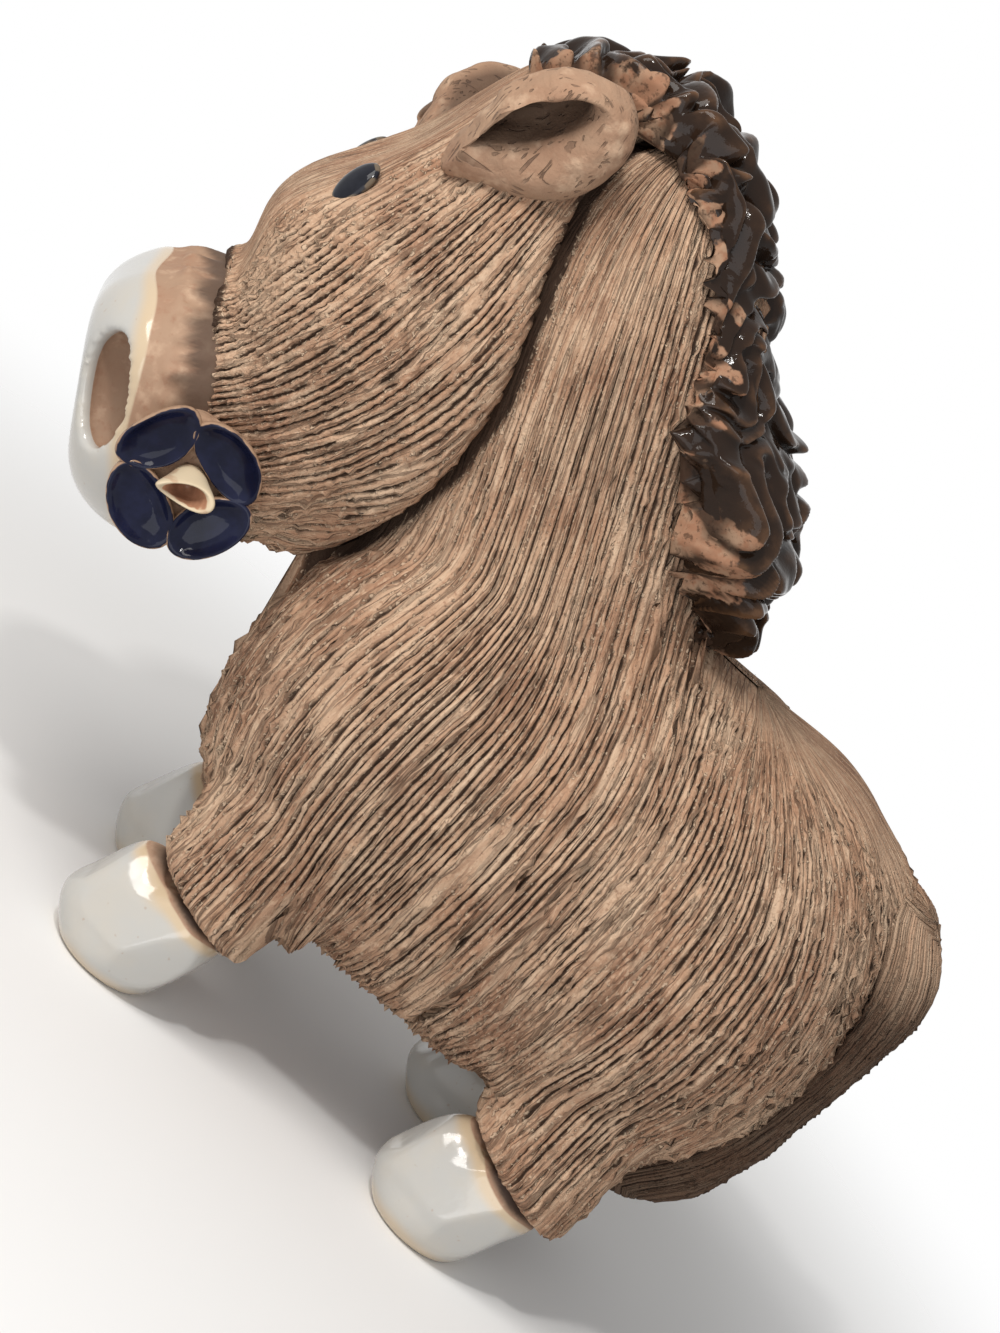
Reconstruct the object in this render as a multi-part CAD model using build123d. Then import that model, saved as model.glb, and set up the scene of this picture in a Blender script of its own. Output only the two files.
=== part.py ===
from build123d import *
import os
from math import cos, radians, sin

# A hand-built ceramic horse: a hollow body and a hollow head, with every other piece of clay luted on.
# Millimetres and degrees. +Z is up, the horse looks along -X and its left side faces -Y.
# The origin is on the table, under the middle of the horse.

# Barrel of the body
BARREL_LENGTH = 89.0
BARREL_DIAMETER = 62.0
BARREL_END_ROUND = 24.0
BARREL_CENTRE_X = 17.5
BELLY_HEIGHT = 15.5
CLAY_WALL = 6.0
VENT_DIAMETER = 5.0

# Neck, leaning forward out of the barrel
NECK_X = 0.0
NECK_SINK = 22.0
NECK_LENGTH = 63.0
NECK_LEAN = 25.0
NECK_BASE_DEPTH = 53.0
NECK_BASE_WIDTH = 54.0
NECK_MIDDLE_DEPTH = 45.0
NECK_MIDDLE_WIDTH = 37.0
NECK_TOP_DEPTH = 30.0
NECK_TOP_WIDTH = 26.0
NECK_CAP_HEIGHT = 8.0

# Legs and hooves
LEG_INSET = 14.0
FRONT_LEG_X = -9.5
REAR_LEG_X = 42.0
FRONT_LEG_LENGTH = 18.0
REAR_LEG_LENGTH = 20.0
LEG_WIDTH = 18.0
HOOF_HEIGHT = 14.5
HOOF_LENGTH = 20.5
HOOF_WIDTH = 18.5
HOOF_TOE_REACH = 4.0
HOOF_BULGE_HEIGHT = 5.5
SOLE_LENGTH = 14.5
SOLE_WIDTH = 13.0
CORONET_LENGTH = 14.5
CORONET_WIDTH = 14.0

# Tail, a slab laid down the rump
TAIL_WIDTH = 25.0
TAIL_THICKNESS = 12.0
TAIL_PROUD = 5.0
TAIL_TOP_HEIGHT = 71.0
TAIL_TIP_HEIGHT = 16.5
TAIL_TIP_TUCK = 7.0

# Head, turned a little to its left; its sections are placed from the middle of the cheek
HEAD_TURN = 8.0
HEAD_PITCH = 4.0
HEAD_TUCK = 3.5
HEAD_DROP = 26.0
HEAD_ROUNDNESS = 0.8
CROWN_RISE = 35.0
CROWN_SIZE = 9.0
FOREHEAD_RISE = 26.5
FOREHEAD_DEPTH = 23.0
FOREHEAD_WIDTH = 23.0
BROW_RISE = 15.0
BROW_DEPTH = 28.0
BROW_WIDTH = 33.5
CHEEK_DEPTH = 39.5
CHEEK_WIDTH = 43.0
CHEEK_TILT = 8.0
JAW_AHEAD = 4.0
JAW_DROP = 18.0
JAW_DEPTH = 39.0
JAW_WIDTH = 40.0
JAW_TILT = 30.0
MOUTH_AHEAD = 11.5
MOUTH_DROP = 28.7
MOUTH_DEPTH = 34.0
MOUTH_WIDTH = 36.0
MOUTH_TILT = 56.0
AIR_DUCT_DIAMETER = 8.0

# Muzzle and its nostrils
MUZZLE_LENGTH = 13.8
MUZZLE_DEPTH = 34.5
MUZZLE_WIDTH = 37.0
MUZZLE_BULGE = 4.0
NOSTRIL_LENGTH = 15.5
NOSTRIL_WIDTH = 8.5
NOSTRIL_SINK = 5.0
NOSTRIL_SPACING = 28.0
NOSTRIL_SETBACK = 3.6
NOSTRIL_TOE_OUT = 52.0
NOSTRIL_LIFT = 2.5

# Ears and eyes
EAR_LENGTH = 23.5
EAR_WIDTH = 16.0
EAR_BACK_RADIUS = 19.0
EAR_FRONT_RADIUS = 24.0
EAR_THICKNESS = 9.5
EAR_HOLLOW_LENGTH = 16.0
EAR_HOLLOW_WIDTH = 6.0
EAR_HOLLOW_DEPTH = 6.0
LEFT_EAR_BACK = -6.0
LEFT_EAR_RISE = 25.7
LEFT_EAR_OUT = 14.8
LEFT_EAR_LEAN = 25.0
LEFT_EAR_SPLAY = 12.0
RIGHT_EAR_BACK = -9.0
RIGHT_EAR_RISE = 17.5
RIGHT_EAR_OUT = 15.0
RIGHT_EAR_LEAN = 32.0
RIGHT_EAR_SPLAY = 28.0
EYE_LENGTH = 6.2
EYE_WIDTH = 3.4
EYE_SEAT = 1.2
EYE_PROUD = 0.5
EYE_RISE = 5.5
EYE_ANGLE = 31.0

# Flower held at the left corner of the mouth
FLOWER_AHEAD = 8.2
FLOWER_DROP = 32.0
FLOWER_PROUD = 2.4
PAD_DIAMETER = 15.0
PAD_DEPTH = 12.0
PETAL_COUNT = 4
PETAL_TURN = 71.0
PETAL_LENGTH = 10.0
PETAL_WIDTH = 6.4
PETAL_THICKNESS = 2.4
PETAL_RADIUS = 6.0
PETAL_EDGE = 0.8
HEART_DIAMETER = 4.6
HEART_FLARE = 1.0
HEART_LENGTH = 6.0
HEART_BORE = 2.8

# Mane: curls of clay over the crest of the neck, the poll and the forehead
MANE_CURLS = 15
CURL_WIDTH = 4.8
CURL_HEIGHT = 7.2
CURL_SINK = 2.8
MANE_WAVE = 2.8
MANE_WAVES = 1.82
MANE_WAVE_START = 0.18
MANE_FOOT = 0.24
MANE_NAPE = 0.9
POLL_RISE = 34.0
POLL_BACK = 9.0
FORELOCK_RISE = 29.5
FORELOCK_AHEAD = 10.5
MANE_FOOT_BEND = 24.0
MANE_TOP_BEND = 14.0
MANE_FOOT_WRAP = 100.0
MANE_TOP_WRAP = 54.0

BARREL_CENTRE_Z = BELLY_HEIGHT + BARREL_DIAMETER / 2
BACK_HEIGHT = BELLY_HEIGHT + BARREL_DIAMETER
LEG_SPACING = BARREL_DIAMETER - 2 * LEG_INSET
HEAD_AHEAD = NECK_TOP_DEPTH / 2 - HEAD_TUCK
LEFT, RIGHT = -1, 1


def tilted(x, z, tilt):
    """A plane across an upright body at (x, z): its X runs back and is raised by tilt, its Y runs right."""
    back = (cos(radians(tilt)), 0, sin(radians(tilt)))
    up = (-sin(radians(tilt)), 0, cos(radians(tilt)))
    return Plane(origin=(x, 0, z), x_dir=back, z_dir=up)


def block(depth, width):
    """A cross-section of the head: a rectangle with well-rounded corners."""
    return RectangleRounded(depth, width, HEAD_ROUNDNESS * min(depth, width) / 2)


def ellipsoid(length, width, height):
    """An ellipsoid about the origin, measured along X, Y and Z."""
    return scale(Sphere(0.5), by=(length, width, height))


def barrel(inset=0.0):
    """The barrel, a round bar with well-rounded ends; inset gives its hollow."""
    bar = Rot(0, 90, 0) * Cylinder(BARREL_DIAMETER / 2 - inset, BARREL_LENGTH - 2 * inset)
    bar = fillet(bar.edges().filter_by(GeomType.CIRCLE), BARREL_END_ROUND - inset)
    return Pos(BARREL_CENTRE_X, 0, BARREL_CENTRE_Z) * bar


def neck_section(share):
    """Centre, depth and width of the neck at a share of its length, through its three measured sections."""
    base, middle, top = 2 * (share - 0.5) * (share - 1), 4 * share * (1 - share), 2 * share * (share - 0.5)
    depth = base * NECK_BASE_DEPTH + middle * NECK_MIDDLE_DEPTH + top * NECK_TOP_DEPTH
    width = base * NECK_BASE_WIDTH + middle * NECK_MIDDLE_WIDTH + top * NECK_TOP_WIDTH
    x = NECK_X - share * NECK_LENGTH * sin(radians(NECK_LEAN))
    z = BACK_HEIGHT - NECK_SINK + share * NECK_LENGTH * cos(radians(NECK_LEAN))
    return x, z, depth, width


def neck(inset=0.0):
    """The neck with a domed cap; inset gives its hollow."""
    sections = []
    for share in (0, 0.5, 1):
        x, z, depth, width = neck_section(share)
        sections.append(tilted(x, z, NECK_LEAN) * Ellipse(depth / 2 - inset, width / 2 - inset))
    x, z, depth, width = neck_section(1)
    rise = NECK_CAP_HEIGHT - inset
    tip_x, tip_z = x - rise * sin(radians(NECK_LEAN)), z + rise * cos(radians(NECK_LEAN))
    cap = Ellipse(depth / 4 - inset / 2, width / 4 - inset / 2)
    sections.append(tilted(tip_x, tip_z, NECK_LEAN) * cap)
    return loft(sections)


def head_frame():
    """Where the head sits: the middle of the cheek, turned to the horse's left with its nose put forward."""
    x, z, _, _ = neck_section(1)
    return Pos(x - HEAD_AHEAD, 0, z - HEAD_DROP) * Rot(0, 0, HEAD_TURN) * Rot(0, HEAD_PITCH, 0)


def head(inset=0.0):
    """The head in its own frame, from the crown to the flat where the muzzle is luted on."""
    rows = [
        (0, CROWN_RISE, 0, CROWN_SIZE, CROWN_SIZE),
        (0, FOREHEAD_RISE, 0, FOREHEAD_DEPTH, FOREHEAD_WIDTH),
        (0, BROW_RISE, 0, BROW_DEPTH, BROW_WIDTH),
        (0, 0, -CHEEK_TILT, CHEEK_DEPTH, CHEEK_WIDTH),
        (-JAW_AHEAD, -JAW_DROP, -JAW_TILT, JAW_DEPTH, JAW_WIDTH),
        (-MOUTH_AHEAD, -MOUTH_DROP, -MOUTH_TILT, MOUTH_DEPTH, MOUTH_WIDTH),
    ]
    if inset:
        rows = rows[1:-1]
    return loft([tilted(x, z, tilt) * block(d - 2 * inset, w - 2 * inset) for x, z, tilt, d, w in rows])


def mouth_plane():
    """The flat at the end of the head, with its normal pointing out of the mouth and X up the nose."""
    out = (-sin(radians(MOUTH_TILT)), 0, -cos(radians(MOUTH_TILT)))
    up = (-cos(radians(MOUTH_TILT)), 0, sin(radians(MOUTH_TILT)))
    return Plane(origin=(-MOUTH_AHEAD, 0, -MOUTH_DROP), x_dir=up, z_dir=out)


def muzzle():
    """The muzzle in the head's frame: a rounded bun on the flat of the mouth, with two nostrils."""
    front = MUZZLE_LENGTH
    rows = [
        (0, MOUTH_DEPTH, MOUTH_WIDTH),
        (MUZZLE_BULGE, MUZZLE_DEPTH, MUZZLE_WIDTH),
        (front * 0.75, MUZZLE_DEPTH * 0.86, MUZZLE_WIDTH * 0.86),
        (front, MUZZLE_DEPTH * 0.5, MUZZLE_WIDTH * 0.5),
    ]
    bun = loft([mouth_plane().offset(out) * block(d, w) for out, d, w in rows])
    for side in (LEFT, RIGHT):
        nostril = ellipsoid(NOSTRIL_LENGTH, NOSTRIL_WIDTH, 2 * NOSTRIL_SINK)
        seat = Pos(NOSTRIL_LIFT, side * NOSTRIL_SPACING / 2, front - NOSTRIL_SETBACK)
        seat = seat * Rot(-side * NOSTRIL_TOE_OUT, 0, 0)
        bun -= mouth_plane() * seat * nostril
    return bun


def leaf(length, width):
    """A pointed oval between two arcs, its length along Y."""
    radius = (length**2 + width**2) / (4 * width)
    shift = radius - width / 2
    return Pos(shift, 0) * Circle(radius) & Pos(-shift, 0) * Circle(radius)


def ear(side, back, rise, out, lean, splay):
    """A thick leaf of clay with a deep hollow facing outwards, leaning back and splayed from the crown."""
    front = Plane.XZ.offset(EAR_THICKNESS / 2)
    blank = extrude(front * leaf(EAR_LENGTH, EAR_WIDTH), -EAR_THICKNESS)
    blank &= Pos(0, EAR_THICKNESS / 2 - EAR_BACK_RADIUS, 0) * Sphere(EAR_BACK_RADIUS)
    blank &= Pos(0, EAR_FRONT_RADIUS - EAR_THICKNESS / 2, 0) * Sphere(EAR_FRONT_RADIUS)
    blank -= extrude(front * leaf(EAR_HOLLOW_LENGTH, EAR_HOLLOW_WIDTH), -EAR_HOLLOW_DEPTH)
    placed = Pos(back, -out, rise) * Rot(splay, 0, 0) * Rot(0, lean, 0) * blank
    return placed if side == LEFT else mirror(placed, about=Plane.XZ)


def eye_seat(side, skin):
    """The plane on the head's skin where an eye is pressed in, with its normal pointing out."""
    out = Vector(-cos(radians(EYE_ANGLE)), side * sin(radians(EYE_ANGLE)), 0)
    hits = skin.shell().find_intersection_points(Axis((0, 0, EYE_RISE), out))
    point, normal = max(hits, key=lambda hit: (hit[0] - Vector(0, 0, EYE_RISE)).dot(out))
    if normal.dot(out) < 0:
        normal = -normal
    return Plane(origin=point, x_dir=normal.cross(Vector(0, 1, 0)), z_dir=normal)


def eye(seat):
    """A small oval bead that sinks into the head and stands a little proud of it."""
    return seat.offset(-EYE_SEAT) * extrude(Ellipse(EYE_LENGTH / 2, EYE_WIDTH / 2), EYE_SEAT + EYE_PROUD)


def flower_plane():
    """The face of the flower's pad, standing off the left side of the muzzle."""
    stand_off = MUZZLE_WIDTH / 2 + FLOWER_PROUD
    return Plane(origin=(-FLOWER_AHEAD, -stand_off, -FLOWER_DROP), x_dir=(1, 0, 0), z_dir=(0, -1, 0))


def petal(index):
    """One oval petal lying on the pad, its length across the radius."""
    blank = extrude(Ellipse(PETAL_WIDTH / 2, PETAL_LENGTH / 2), PETAL_THICKNESS)
    blank = fillet(blank.edges().group_by(Axis.Z)[-1], PETAL_EDGE)
    turn = PETAL_TURN + index * 360 / PETAL_COUNT
    return flower_plane() * Rot(0, 0, turn) * Pos(PETAL_RADIUS, 0, 0) * blank


def flower_heart():
    """The rolled cone in the middle of the flower, open at its outer end."""
    base, mouth = HEART_DIAMETER / 2, HEART_DIAMETER / 2 + HEART_FLARE
    up = Align.MIN
    cone = Cone(base, mouth, HEART_LENGTH, align=(Align.CENTER, Align.CENTER, up))
    bore = Cone(HEART_BORE / 4, mouth - (HEART_DIAMETER - HEART_BORE) / 2, HEART_LENGTH * 0.8)
    return flower_plane() * (cone - Pos(0, 0, HEART_LENGTH * 0.6) * bore)


def crest_line():
    """The line the mane follows: up the crest of the neck, over the poll and down the forehead."""
    points = []
    for share in (MANE_FOOT, (MANE_FOOT + MANE_NAPE) / 2, MANE_NAPE):
        x, z, depth, _ = neck_section(share)
        half = depth / 2
        points.append((x + half * cos(radians(NECK_LEAN)), 0, z + half * sin(radians(NECK_LEAN))))
    for ahead, rise in ((-POLL_BACK, POLL_RISE), (0, CROWN_RISE), (FORELOCK_AHEAD, FORELOCK_RISE)):
        spot = (head_frame() * Pos(-ahead, 0, rise)).position
        points.append((spot.X, 0, spot.Z))
    return Spline(*points)


def mane_curl(index, crest):
    """A curl of clay: an oval bar bent over the crest, wide at the foot of the mane and small on the head."""
    share = index / (MANE_CURLS - 1)
    bend = MANE_FOOT_BEND + (MANE_TOP_BEND - MANE_FOOT_BEND) * share
    wrap = MANE_FOOT_WRAP + (MANE_TOP_WRAP - MANE_FOOT_WRAP) * share
    along = crest % share
    out = along.cross(Vector(0, 1, 0)) * -1
    height = CURL_HEIGHT + MANE_WAVE * cos(radians(360 * MANE_WAVES * (share - MANE_WAVE_START)))
    reach = bend + height / 2 - CURL_SINK
    plane = Plane(origin=(crest @ share) - out * bend, x_dir=out, z_dir=along)
    path = plane * EllipticalCenterArc((0, 0), reach, reach, -wrap / 2, arc_size=wrap)
    foot = path @ 0
    spoke = foot - plane.origin
    bar = Plane(origin=foot, x_dir=spoke, z_dir=path % 0) * Ellipse(height / 2, CURL_WIDTH / 2)
    return sweep(bar, path=path)


def leg(x, side, length):
    """A straight stub of leg, standing on the flat top of its hoof and running up into the barrel."""
    stub = extrude(Pos(0, 0, HOOF_HEIGHT) * Ellipse(length / 2, LEG_WIDTH / 2), BARREL_DIAMETER / 4)
    return Pos(x, side * LEG_SPACING / 2, 0) * stub


def hoof(x, side):
    """A glazed hoof with a flat sole, a bulging toe and a flat top under the leg."""
    rows = [
        (0, -HOOF_TOE_REACH, SOLE_LENGTH, SOLE_WIDTH),
        (HOOF_BULGE_HEIGHT, -HOOF_TOE_REACH, HOOF_LENGTH, HOOF_WIDTH),
        (HOOF_HEIGHT, 0, CORONET_LENGTH, CORONET_WIDTH),
    ]
    shape = loft([Pos(reach, 0, z) * Ellipse(length / 2, width / 2) for z, reach, length, width in rows])
    return Pos(x, side * LEG_SPACING / 2, 0) * shape


def tail():
    """The tail slab, from the top of the rump down behind it to a tucked tip."""
    rear = BARREL_CENTRE_X + BARREL_LENGTH / 2 + TAIL_PROUD - TAIL_THICKNESS / 2
    drop = TAIL_TOP_HEIGHT - TAIL_TIP_HEIGHT
    rows = [
        (0, -TAIL_TIP_TUCK, 0.5),
        (0.12, -TAIL_TIP_TUCK / 8, 1),
        (0.4, 0, 1),
        (0.7, -TAIL_TIP_TUCK / 6, 1),
        (0.92, -TAIL_TIP_TUCK * 0.7, 0.9),
        (1, -TAIL_TIP_TUCK * 1.2, 0.5),
    ]
    slab = [
        Pos(rear + shift, 0, TAIL_TOP_HEIGHT - share * drop)
        * RectangleRounded(TAIL_THICKNESS * size, TAIL_WIDTH * size, TAIL_THICKNESS * size / 3)
        for share, shift, size in rows
    ]
    return loft(slab)


def build():
    """Every piece of clay by name, each cut to sit face to face on the piece that carries it."""
    pieces = {}
    place = head_frame()
    body = barrel() + neck()
    hollow = barrel(CLAY_WALL) + neck(CLAY_WALL)
    head_skin = head()

    x, z, _, _ = neck_section(1)
    duct_axis = Plane(origin=(x, 0, z - HEAD_DROP), z_dir=(-1, 0, 0))
    duct = duct_axis * Cylinder(AIR_DUCT_DIAMETER / 2, 4 * HEAD_AHEAD)
    vent = Pos(BARREL_CENTRE_X, 0, BELLY_HEIGHT) * Cylinder(VENT_DIAMETER / 2, 4 * CLAY_WALL)
    pieces["body_shell"] = body - hollow - duct - vent

    eye_planes = {"left_eye": eye_seat(LEFT, head_skin), "right_eye": eye_seat(RIGHT, head_skin)}
    eyes = {name: eye(seat) for name, seat in eye_planes.items()}
    for name, bead in eyes.items():
        pieces[name] = place * bead
    head_blank = place * head_skin - body
    pieces["head"] = head_blank - place * head(CLAY_WALL) - duct - pieces["left_eye"] - pieces["right_eye"]

    pieces["muzzle"] = place * muzzle()
    left = (LEFT_EAR_BACK, LEFT_EAR_RISE, LEFT_EAR_OUT, LEFT_EAR_LEAN, LEFT_EAR_SPLAY)
    right = (RIGHT_EAR_BACK, RIGHT_EAR_RISE, RIGHT_EAR_OUT, RIGHT_EAR_LEAN, RIGHT_EAR_SPLAY)
    carrier = body + place * head_skin
    pieces["left_ear"] = place * ear(LEFT, *left) - carrier
    pieces["right_ear"] = place * ear(RIGHT, *right) - carrier

    eared = carrier + pieces["left_ear"] + pieces["right_ear"]

    crest = crest_line()
    for index in range(MANE_CURLS):
        roll = mane_curl(index, crest)
        if index < MANE_CURLS / 2:
            roll = roll - body
        else:
            roll = roll - eared
        pieces[f"mane_curl_{index + 1:02d}"] = roll

    pad_blank = extrude(flower_plane() * Circle(PAD_DIAMETER / 2), -PAD_DEPTH)
    pieces["flower_pad"] = place * pad_blank - place * head_skin - pieces["muzzle"]
    for index in range(PETAL_COUNT):
        pieces[f"flower_petal_{index + 1}"] = place * petal(index)
    pieces["flower_heart"] = place * flower_heart()

    for end, x, length in (("front", FRONT_LEG_X, FRONT_LEG_LENGTH), ("rear", REAR_LEG_X, REAR_LEG_LENGTH)):
        for name, side in (("left", LEFT), ("right", RIGHT)):
            pieces[f"{end}_{name}_leg"] = leg(x, side, length) - body
            pieces[f"{end}_{name}_hoof"] = hoof(x, side)
    pieces["tail"] = tail() - body

    boxes = [piece.bounding_box() for piece in pieces.values()]
    low, high = boxes[0].min, boxes[0].max
    for box in boxes:
        low = Vector(min(low.X, box.min.X), min(low.Y, box.min.Y), min(low.Z, box.min.Z))
        high = Vector(max(high.X, box.max.X), max(high.Y, box.max.Y), max(high.Z, box.max.Z))
    middle = (low + high) / 2
    return {name: Pos(-middle.X, -middle.Y, -low.Z) * piece for name, piece in pieces.items()}


def main():
    os.makedirs("parts", exist_ok=True)
    for name, piece in build().items():
        print(name, len(piece.solids()), round(piece.volume))
        export_step(piece, f"parts/{name}.step")


main()
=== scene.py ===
"""Dresses a hand-built ceramic horse: combed clay, glazed hooves and muzzle, a folded mane and a flower."""

from math import cos, pi, radians, sin, tan

import bpy
import numpy as np
from bpy.props import FloatProperty, FloatVectorProperty, IntProperty, PointerProperty
from mathutils import Matrix, Vector
from mathutils.bvhtree import BVHTree


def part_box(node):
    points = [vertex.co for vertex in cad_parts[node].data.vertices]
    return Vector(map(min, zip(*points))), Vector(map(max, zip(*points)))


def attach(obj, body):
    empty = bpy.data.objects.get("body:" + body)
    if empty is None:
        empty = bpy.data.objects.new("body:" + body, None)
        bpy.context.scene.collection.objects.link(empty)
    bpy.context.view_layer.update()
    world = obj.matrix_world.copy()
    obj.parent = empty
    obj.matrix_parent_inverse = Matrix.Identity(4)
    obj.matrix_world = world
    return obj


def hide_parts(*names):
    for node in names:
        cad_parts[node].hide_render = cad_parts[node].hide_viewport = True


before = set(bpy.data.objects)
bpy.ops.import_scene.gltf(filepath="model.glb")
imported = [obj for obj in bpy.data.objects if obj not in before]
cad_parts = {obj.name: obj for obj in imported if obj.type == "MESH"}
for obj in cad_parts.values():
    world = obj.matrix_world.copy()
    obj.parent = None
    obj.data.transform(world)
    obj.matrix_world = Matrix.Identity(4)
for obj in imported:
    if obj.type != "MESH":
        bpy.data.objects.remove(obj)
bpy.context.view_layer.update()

bl_info = {
    "name": "Combed clay horse",
    "version": (1, 0, 0),
    "blender": (4, 5, 0),
    "location": "View3D > Sidebar > Horse",
    "description": "A hand-built ceramic horse with combed clay, glazed hooves, a folded mane and a flower",
    "category": "Add Mesh",
}

MM = 0.001
LEGS = [f"{end}_{side}" for end in ("front", "rear") for side in ("left", "right")]
BODY_NODES = ["body_shell"] + [f"{leg}_leg" for leg in LEGS]
HOOF_NODES = [f"{leg}_hoof" for leg in LEGS]
CURL_NODES = sorted(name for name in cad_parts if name.startswith("mane_curl"))
PETAL_NODES = sorted(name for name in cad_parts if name.startswith("flower_petal"))

# One groove: where its points lie across the stroke, and how deep each of them is; the depth also sets the
# painted shade in the groove.
GROOVE_COLUMNS = np.array([0.0, 0.48, 0.74])
GROOVE_SHAPE = np.array([0.06, 0.0, 1.0])
RAY_LENGTH = 150 * MM
COAT_ROWS = 118
COAT_PROBES = 240
HEAD_STROKES = 132
TAIL_STROKES = 100
STROKE_ROWS = 84
MANE_ROWS = 280
MANE_COLUMNS = 150

# First seeds of the lumps and the glaze of the hooves, and of the petals.
LUMP_SEED = 40
GLAZE_SEED = 60
PETAL_SEED = 80

# Heights between which a tipped hem grows from nothing to all, on the legs and on the hooves.
LEG_HEM = (24 * MM, 15 * MM)
HOOF_HEM = (7 * MM, 14 * MM)

# Half width, half length and depth of the rings of an ear in millimetres, from its hollow to its back.
EAR_RINGS = (
    (0.0, 0.0, -2.6),
    (1.2, 5.0, -2.4),
    (2.1, 6.6, -0.6),
    (2.7, 7.5, 2.0),
    (3.1, 8.1, 3.8),
    (4.0, 8.9, 4.7),
    (5.6, 9.9, 4.6),
    (7.2, 10.7, 3.2),
    (8.0, 11.2, 0.6),
    (7.7, 10.9, -1.8),
    (5.8, 8.4, -3.8),
    (2.6, 4.2, -4.6),
    (0.0, 0.0, -4.75),
)

# Radius and height of turned forms, top first: an eye, a petal and the tube in the middle of the flower.
BEAD_PROFILE = (
    (0.0, 1.0), (0.3, 0.97), (0.55, 0.84), (0.76, 0.62), (0.9, 0.36),
    (1.0, 0.05), (1.0, -0.3), (0.9, -0.6), (0.6, -0.9), (0.0, -1.0),
)
DISH_PROFILE = (
    (0.0, 0.62), (0.25, 0.60), (0.48, 0.60), (0.66, 0.68), (0.80, 0.84), (0.90, 0.98), (0.97, 1.0),
    (1.02, 0.90), (1.03, 0.68), (1.0, 0.4), (0.94, 0.12), (0.8, 0.0), (0.4, -0.05), (0.0, -0.05),
)
TUBE_PROFILE = (
    (0.0, 0.30), (0.5, 0.31), (0.95, 0.42), (1.5, 0.66), (2.0, 0.88), (2.35, 0.98), (2.7, 1.0),
    (2.95, 0.94), (2.85, 0.74), (2.5, 0.45), (2.35, 0.2), (2.2, 0.0), (1.2, -0.04), (0.0, -0.04),
)

FRONT_LEG_X = sum(corner.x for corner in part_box("front_left_leg")) / 2
CHEEK_AHEAD_OF_LEG = 28.62 * MM
CHEEK_HEIGHT = 86.6 * MM
VIEW_BEHIND_LEG = 8.645 * MM

# How much the ribbon is raised in millimetres at places from the forelock, 0, to the withers, 1.
MANE_PLACES = (0.0, 0.15, 0.3, 0.45, 0.6, 0.75, 0.9, 1.0)
MANE_LIFTS = (1.0, 1.2, 0.4, 0.0, 0.3, 1.0, 2.0, 2.4)

SENSOR = 36.0
LAMPS = (
    ("key", (-0.30, -0.22, 0.42), 0.22, (1.0, 0.97, 0.93)),
    ("glint", (-0.16, -0.26, 0.40), 0.03, (1.0, 0.98, 0.95)),
    ("fill", (-0.05, -0.50, 0.12), 0.35, (0.95, 0.97, 1.0)),
)


def length(name, description, default):
    return FloatProperty(name=name, description=description, default=default, unit="LENGTH", precision=5)


def turn(name, description, degrees):
    return FloatProperty(name=name, description=description, default=radians(degrees), subtype="ANGLE")


def colour(name, description, default):
    return FloatVectorProperty(
        name=name, description=description, default=default, subtype="COLOR", size=3, min=0.0, max=1.0
    )


def amount(name, description, default, **more):
    return FloatProperty(name=name, description=description, default=default, **more)


def position(name, description, default):
    return FloatVectorProperty(
        name=name, description=description, default=default, subtype="XYZ", unit="LENGTH"
    )


class HorseClay(bpy.types.PropertyGroup):
    """The combed and the plain clay."""

    spacing: length("Comb spacing", "Distance between two grooves at the girth", 0.92 * MM)
    depth: length("Comb depth", "Depth of a full groove", 0.78 * MM)
    lump: length("Lumps", "Height of the slow unevenness left by the hands", 0.45 * MM)
    lean: turn("Neck lean", "How far the comb strokes lean on the neck", 26.0)
    lean_height: length("Lean height", "Height above the table at which the strokes stand upright", 57 * MM)
    hem_slope: amount("Hem slope", "Fall of the legs' lower edge to the back", 0.3)
    tan: colour("Clay", "The fired clay on the ridges", (0.49, 0.295, 0.187))
    pale: colour("Pale clay", "The palest dry patches", (0.72, 0.53, 0.37))
    red: colour("Red clay", "The iron-red patches", (0.30, 0.152, 0.090))
    # Dark clay colour of thin lines, scratches and specks, also used as the painted shade in grooves,
    # creases and hollows.
    groove: colour("Groove", "The dark of the combed grooves", (0.040, 0.021, 0.013))
    seed: IntProperty(name="Seed", description="Seed of the hand-made unevenness", default=7)


class HorseHead(bpy.types.PropertyGroup):
    """Where the head is and how its skin is laid."""

    cheek: position("Cheek", "Middle of the head", (FRONT_LEG_X - CHEEK_AHEAD_OF_LEG, 0.0, CHEEK_HEIGHT))
    turned: turn("Turn", "Turn of the head to the horse's left", 8.0)
    pitch: turn("Pitch", "How far the nose is put forward", 4.0)
    mouth_ahead: length("Mouth ahead", "Flat of the mouth ahead of the cheek", 11.5 * MM)
    mouth_drop: length("Mouth drop", "Flat of the mouth below the cheek", 28.7 * MM)
    mouth_tilt: turn("Mouth tilt", "Tilt of the flat that carries the muzzle", 56.0)
    left_ear: position("Left ear", "Left ear from the cheek", (-6.0 * MM, -14.8 * MM, 25.7 * MM))
    left_lean: turn("Left lean", "Lean of the left ear to the back", 25.0)
    left_splay: turn("Left splay", "Splay of the left ear", 12.0)
    right_ear: position("Right ear", "Right ear from the cheek", (-9.0 * MM, 15 * MM, 17.5 * MM))
    right_lean: turn("Right lean", "Lean of the right ear to the back", 32.0)
    right_splay: turn("Right splay", "Splay of the right ear", 28.0)


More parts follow.
